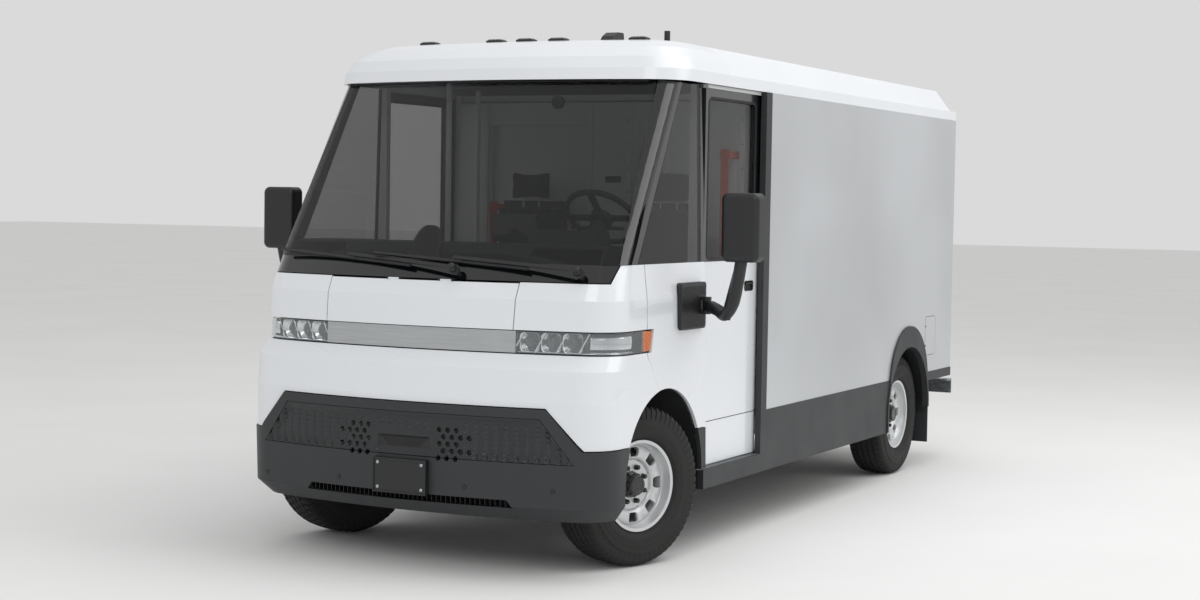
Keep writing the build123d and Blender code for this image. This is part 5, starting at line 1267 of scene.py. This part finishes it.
def wiper_pivot(x, touch_x, normal):
    """Where a wiper's pivot meets the plane it sweeps in."""
    base_z = 1.5
    contact = Vector((touch_x, on_nose(GLASS, base_z, BOW * asin(touch_x / BOW))[0].y, base_z))
    angle = touch_x / BOW
    across = Vector((1.0, angle, 0.0)).normalized()
    up = normal.cross(across).normalized()
    if up.z < 0:
        up = -up
    drop = (WIPER_PIVOT_Z - base_z) / cos(GLASS_LEAN)
    return contact + across * ((x - touch_x) / cos(angle)) + up * drop + normal * 0.014


# ------------------------------------------------------------------ soft goods
def stuffed(name, lo, hi, sizes, body, seams):
    """A sewn, stuffed pad: a rounded block swollen under pressure, then pulled in along its seams."""
    lo, hi = Vector(lo), Vector(hi)
    swell = sizes.pad_swell
    lo += Vector((swell, swell, swell)) * 0.8
    hi -= Vector((swell, swell, swell)) * 0.8
    work = bmesh.new()
    bmesh.ops.create_cube(work, size=1.0)
    span = hi - lo
    for vert in work.verts:
        vert.co = Vector((lo[i] + span[i] * (vert.co[i] + 0.5) for i in range(3)))
    radius = min(span) * 0.3
    bmesh.ops.bevel(work, geom=list(work.edges), offset=radius, segments=4, profile=0.6, affect="EDGES")
    data = bpy.data.meshes.new(name)
    work.to_mesh(data)
    work.free()
    obj = bpy.data.objects.new(name, data)
    bpy.context.scene.collection.objects.link(obj)
    bpy.ops.object.select_all(action="DESELECT")
    obj.select_set(True)
    bpy.context.view_layer.objects.active = obj
    remesh = obj.modifiers.new("remesh", "REMESH")
    remesh.mode = "VOXEL"
    remesh.voxel_size = sizes.voxel * 1.0
    bpy.ops.object.modifier_apply(modifier="remesh")
    rest = [v.co.copy() for v in obj.data.vertices]
    cloth = obj.modifiers.new("cloth", "CLOTH")
    cloth.settings.use_pressure = True
    cloth.settings.uniform_pressure_force = 4.0
    cloth.settings.effector_weights.gravity = 0.0
    cloth.settings.quality = 4
    cloth.point_cache.frame_start = 1
    cloth.point_cache.frame_end = CLOTH_FRAMES
    for number in range(1, CLOTH_FRAMES + 1):
        bpy.context.scene.frame_set(number)
    shaped = obj.evaluated_get(bpy.context.evaluated_depsgraph_get()).to_mesh()
    swollen = [v.co.copy() for v in shaped.vertices]
    obj.modifiers.remove(cloth)
    bpy.context.scene.frame_set(1)
    for vert, old, new in zip(obj.data.vertices, rest, swollen):
        shift = new - old
        if shift.length > swell:
            shift = shift * (swell / shift.length)
        vert.co = old + shift
    middle = (lo + hi) / 2
    for vert in obj.data.vertices:
        pull = 0.0
        for axis, at_value, depth in seams:
            far = abs(vert.co[axis] - at_value)
            if far < SEAM_REACH:
                pull = max(pull, depth * (1 - far / SEAM_REACH) ** 1.5)
        if pull:
            way = middle - vert.co
            for axis, _, _ in seams:
                way[axis] = 0.0
            if way.length > 1e-6:
                vert.co += way.normalized() * pull
    smooth = obj.modifiers.new("smooth", "SUBSURF")
    smooth.levels = 1
    smooth.render_levels = 1
    bpy.ops.object.modifier_apply(modifier="smooth")
    obj.data.polygons.foreach_set("use_smooth", [True] * len(obj.data.polygons))
    obj.data.materials.append(finish("seat_fabric"))
    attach(obj, body)
    return obj


class TRUCK_OT_seats(TruckOperator, bpy.types.Operator):
    """Build the stuffed seat pads, the headrest stems and the folding pan"""
    bl_idname = "truck.seats"
    bl_label = "Seats and belts"

    def build(self, sizes):
        for word, x, front, back in (("driver", 0.56, -1.121, -1.0215),
                                     ("passenger", -0.33, -1.061, -0.9915)):
            low, high = 1.23, 1.78
            rest = stuffed(f"{word}_backrest", (x - 0.225, front, low), (x + 0.225, back, high), sizes,
                           "chassis", [(0, x - 0.14, 0.01), (0, x + 0.14, 0.01), (2, 1.42, 0.008),
                                       (2, 1.6, 0.008)])
            head = stuffed(f"{word}_headrest", (x - 0.13, front, 1.8005), (x + 0.13, back - 0.01, 1.97),
                           sizes, "chassis", [(2, 1.885, 0.004)])
            stems = [tube([(x + dx, (front + back) / 2, 1.765), (x + dx, (front + back) / 2, 1.82)], 0.006,
                          12)
                     for dx in (-0.05, 0.05)]
            post = piece(f"{word}_headrest_stems", *joined(stems), "chassis", "seat_fabric", "screw")
            for obj in (rest, head, post):
                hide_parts("seat_pads")
        squab = stuffed("driver_squab", (0.325, -1.501, 1.0805), (0.795, -1.031, 1.21), sizes, "chassis",
                        [(0, 0.42, 0.008), (0, 0.70, 0.008), (1, -1.2, 0.008)])
        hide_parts("seat_pads")
        pad = stuffed("folding_squab", (-0.555, -1.511, 1.0945), (-0.105, -1.156, 1.146), sizes,
                      "seat_cushion", [(0, -0.42, 0.004), (0, -0.24, 0.004)])
        pan_rings = []
        for z, grow in ((1.074, -0.01), (1.078, 0.0), (1.090, 0.0), (1.0935, -0.006)):
            pan_rings.append([Vector((-0.33 + a, -1.324 + b, z)) for a,
                              b in rounded(0.22 + grow, 0.177 + grow, 0.03)])
        sleeve = turned([(-0.22, 0.0085), (-0.22, 0.014), (0.22, 0.014), (0.22, 0.0085)], 32, closed=True)
        sleeve = moved(sleeve, Matrix.Translation((-0.33, -1.141, 1.084)))
        pan = piece("folding_seat_pan", *joined([loops(pan_rings), sleeve]), "seat_cushion", "seat_fabric",
                    "interior_dark")
        for obj in (pad, pan):
            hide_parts("folding_seat")


class TRUCK_OT_cab(TruckOperator, bpy.types.Operator):
    """Build the centre screen, vents, bulkhead battens and sill treads"""
    bl_idname = "truck.cab"
    bl_label = "Cab details"

    def build(self, sizes):
        battens, rivets = [], []
        front = BULKHEAD_FACE_Y
        for x in (-0.05, 0.20, 0.43, 0.66, 0.90, -0.74):
            battens.append(slab((x - 0.018, front - 0.012, 0.70), (x + 0.018, front - 0.0006, 2.36)))
        for x in (0.20, 0.43, 0.66, 0.90):
            for k in range(12):
                head = turned([(0.0, 0.0), (0.0, 0.006), (0.002, 0.0052), (0.0032, 0.003), (0.0035, 0.0)], 10)
                rivets.append(moved(head, Matrix.Translation((x, front - 0.012, 0.78 + 0.135 * k))
                                    @ Matrix.Rotation(-pi / 2, 4, "Z")))
        piece("bulkhead_battens", *joined(battens), "chassis", "light_panel", "light_panel", bevel=0.003)
        piece("bulkhead_rivets", *joined(rivets), "chassis", "light_panel", "screw")
        plate = loops([[Vector((0.10 + a, front - lift, 1.93 + b)) for a,
                        b in rounded(0.05 + grow, 0.018 + grow, 0.005)]
                       for lift, grow in ((0.0005, 0.0), (0.003, 0.0), (0.004, -0.002))])
        piece("bulkhead_switch_plate", *plate, "chassis", "black_plastic", "black_plastic")
        vents = []
        for x in (-0.62, -0.12, 0.16, 0.86):
            for k in range(5):
                z = 1.475 + 0.012 * k
                vents.append(slab((x - 0.055, -2.1275 + 0.0008 * k, z),
                                  (x + 0.055, -2.1190 + 0.0008 * k, z + 0.004)))
        piece("dashboard_vent_slats", *joined(vents), "chassis", "interior_dark", "black_plastic",
              bevel=0.001)
        screen = loops([[Vector((0.17 + a, -2.10 + y, 1.66 + b)) for a,
                         b in rounded(0.13 + grow, 0.072 + grow, 0.012)]
                        for y, grow in ((-0.012, -0.004), (-0.010, 0.0), (0.004, 0.0), (0.006, -0.003))])
        foot = slab((0.14, -2.104, 1.5855), (0.20, -2.09, 1.60))
        piece("centre_screen", *joined([screen, foot]), "chassis", "interior_dark", "projector")
        treads = []
        for side in (-1, 1):
            for k in range(4):
                x = side * (0.99 + 0.013 * k)
                treads.append(slab((min(x, x + side * 0.006), -1.66, 0.4222),
                                   (max(x, x + side * 0.006), -0.79, 0.4252)))
            for k in range(6):
                x = side * (0.81 + 0.024 * k)
                treads.append(slab((min(x, x + side * 0.01), -1.55, 0.4402),
                                   (max(x, x + side * 0.01), -0.885, 0.4432)))
        piece("step_tread_ribs", *joined(treads), "chassis", "charcoal_plastic", "galvanised", bevel=0.0008)
        axis = Vector((0, cos(STEERING_LEAN), sin(STEERING_LEAN)))
        up = Vector((0, -sin(STEERING_LEAN), cos(STEERING_LEAN)))
        stitches = []
        for k in range(72):
            a = tau * k / 72
            out = Vector((1, 0, 0)) * cos(a) + up * sin(a)
            middle = Vector(STEERING_RIM) + out * STEERING_RADIUS
            stitches.append(tube([middle - axis * 0.005, middle + axis * 0.005], 0.0012, 5))
        piece("steering_wheel_stitching", *joined(stitches), "steering", "interior_dark", "screw")


class TRUCK_OT_rear(TruckOperator, bpy.types.Operator):
    """Build the tail lamp bezels and lenses, and the step's grip"""
    bl_idname = "truck.rear"
    bl_label = "Rear details"

    def build(self, sizes):
        lenses, ambers, clears, bezels = [], [], [], []
        for side in (-1, 1):
            for z0, z1, into in ((0.900, 1.010, clears), (1.014, 1.124, ambers), (1.128, 1.238, lenses)):
                x, y, z = side * TAIL_LAMP_X, TAIL_LAMP_Y, (z0 + z1) / 2
                rings = []
                for lift, grow in ((0.0, 0.0), (0.004, 0.0), (0.0075, -0.003)):
                    rings.append([Vector((x + a, y + lift, z + b)) for a,
                                  b in rounded(0.026 + grow, 0.055 + grow, 0.008)])
                bezels.append(loops(rings))
                rings = []
                for lift, grow in ((0.007, -0.005), (0.013, -0.006), (0.0185, -0.010), (0.0205, -0.016)):
                    rings.append([Vector((x + a, y + lift, z + b)) for a,
                                  b in rounded(0.026 + grow, 0.055 + grow, 0.008)])
                into.append(loops(rings))
        made = [piece("tail_lamp_bezels", *joined(bezels), "chassis", "red_lens", "black_plastic"),
                piece("tail_stop_lenses", *joined(lenses), "chassis", "red_lens", "red_lens"),
                piece("tail_turn_lenses", *joined(ambers), "chassis", "red_lens", "amber_lens"),
                piece("tail_reverse_lenses", *joined(clears), "chassis", "red_lens", "smoked")]
        for obj in made:
            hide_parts("tail_lamps")
        grip = []
        for i in range(44):
            for j in range(2):
                x, y = -0.966 + 0.045 * i, 2.823 + 0.045 * j
                stud = turned([(0.0, 0.0), (0.0, 0.009), (0.002, 0.0085), (0.003, 0.006), (0.003, 0.0045),
                               (0.0012, 0.004), (0.0012, 0.0)], 14)
                grip.append(moved(stud, Matrix.Translation((x, y, 0.5602)) @ Matrix.Rotation(-pi / 2, 4,
                                                                                             "Y")))
        piece("rear_step_grip", *joined(grip), "chassis", "galvanised", "galvanised", 30)


class TRUCK_OT_stage(TruckOperator, bpy.types.Operator):
    """Lay the pale floor, hang the soft lights and set the camera"""
    bl_idname = "truck.stage"
    bl_label = "Stage"

    def build(self, sizes):
        mat, tree, shader, place = finish_of("pale_studio_floor")
        # Painted studio floor: near-white and matt, with the faintest mottle.
        mottle = put(tree, "ShaderNodeTexNoise", {"Vector": place, "Scale": 0.6, "Detail": 3.0})
        tint = blend(tree, mottle.outputs[0], rgba("#E4E4E3"), rgba("#EDEDEC"))
        dress(tree, shader, {"Base Color": tint, "Roughness": 0.85, "Specular IOR Level": 0.2})
        bpy.ops.mesh.primitive_plane_add(size=160, location=(0, 0, -0.001))
        floor = bpy.context.object
        floor.name = "studio_floor"
        floor.data.materials.append(mat)

        world = bpy.data.worlds.new("studio_air")
        world.use_nodes = True
        world.node_tree.nodes["Background"].inputs[0].default_value = (1.0, 1.0, 1.0, 1.0)
        world.node_tree.nodes["Background"].inputs[1].default_value = 0.7
        bpy.context.scene.world = world
        for name, power, size, spot, aim in (
                ("overhead_softbox", 300.0, 7.0, (3.6, 1.0, 9.0), (0.4, 0.2, 0.8)),
                ("front_softbox", 260.0, 6.0, (3.5, -12.0, 8.0), (0.2, -2.5, 1.0)),
                ("side_softbox", 240.0, 7.0, (11.0, 1.5, 7.5), (1.0, 0.8, 1.2))):
            lamp = bpy.data.lights.new(name, "AREA")
            lamp.energy = power
            lamp.size = size
            obj = bpy.data.objects.new(name, lamp)
            obj.location = spot
            obj.rotation_euler = (Vector(aim) - Vector(spot)).to_track_quat("-Z", "Y").to_euler()
            bpy.context.scene.collection.objects.link(obj)

        bpy.context.scene.view_settings.view_transform = "Standard"
        yaw, pitch, roll = CAMERA_YAW, CAMERA_PITCH, CAMERA_ROLL
        ahead = Vector((-sin(yaw) * cos(pitch), cos(yaw) * cos(pitch), sin(pitch)))
        right = ahead.cross(Vector((0, 0, 1))).normalized()
        up = right.cross(ahead)
        level_right = right * cos(roll) + up * sin(roll)
        level_up = up * cos(roll) - right * sin(roll)
        turn = Matrix((level_right, level_up, -ahead)).transposed().to_4x4()
        data = bpy.data.cameras.new("studio_camera")
        data.sensor_fit = "HORIZONTAL"
        data.sensor_width = 36.0
        data.lens = CAMERA_LENS
        data.clip_end = 500.0
        camera = bpy.data.objects.new("studio_camera", data)
        camera.matrix_world = Matrix.Translation(CAMERA_SPOT) @ turn
        bpy.context.scene.collection.objects.link(camera)
        bpy.context.scene.camera = camera


OPERATORS = (TRUCK_OT_stage, TRUCK_OT_finishes, TRUCK_OT_wheels, TRUCK_OT_bumper, TRUCK_OT_lamps,
             TRUCK_OT_mirrors, TRUCK_OT_doors, TRUCK_OT_wipers, TRUCK_OT_cab, TRUCK_OT_rear, TRUCK_OT_seats)


class VIEW3D_PT_mail_truck(bpy.types.Panel):
    """Lists the truck's operators in order."""
    bl_idname = "VIEW3D_PT_mail_truck"
    bl_label = "Mail Truck"
    bl_space_type = "VIEW_3D"
    bl_region_type = "UI"
    bl_category = "Mail Truck"

    def draw(self, context):
        for step in OPERATORS:
            self.layout.operator(step.bl_idname)
        for group in (context.scene.truck_sizes, context.scene.truck_colours):
            for key in group.bl_rna.properties.keys():
                if key not in ("rna_type", "name"):
                    self.layout.prop(group, key)


CLASSES = (TruckSizes, TruckColours, *OPERATORS, VIEW3D_PT_mail_truck)


def register():
    for cls in CLASSES:
        bpy.utils.register_class(cls)
    bpy.types.Scene.truck_sizes = PointerProperty(type=TruckSizes)
    bpy.types.Scene.truck_colours = PointerProperty(type=TruckColours)


def unregister():
    del bpy.types.Scene.truck_sizes
    del bpy.types.Scene.truck_colours
    for cls in reversed(CLASSES):
        bpy.utils.unregister_class(cls)


def main():
    register()
    for step in OPERATORS:
        family, name = step.bl_idname.split(".")
        getattr(getattr(bpy.ops, family), name)()


if __name__ == "__main__":
    main()
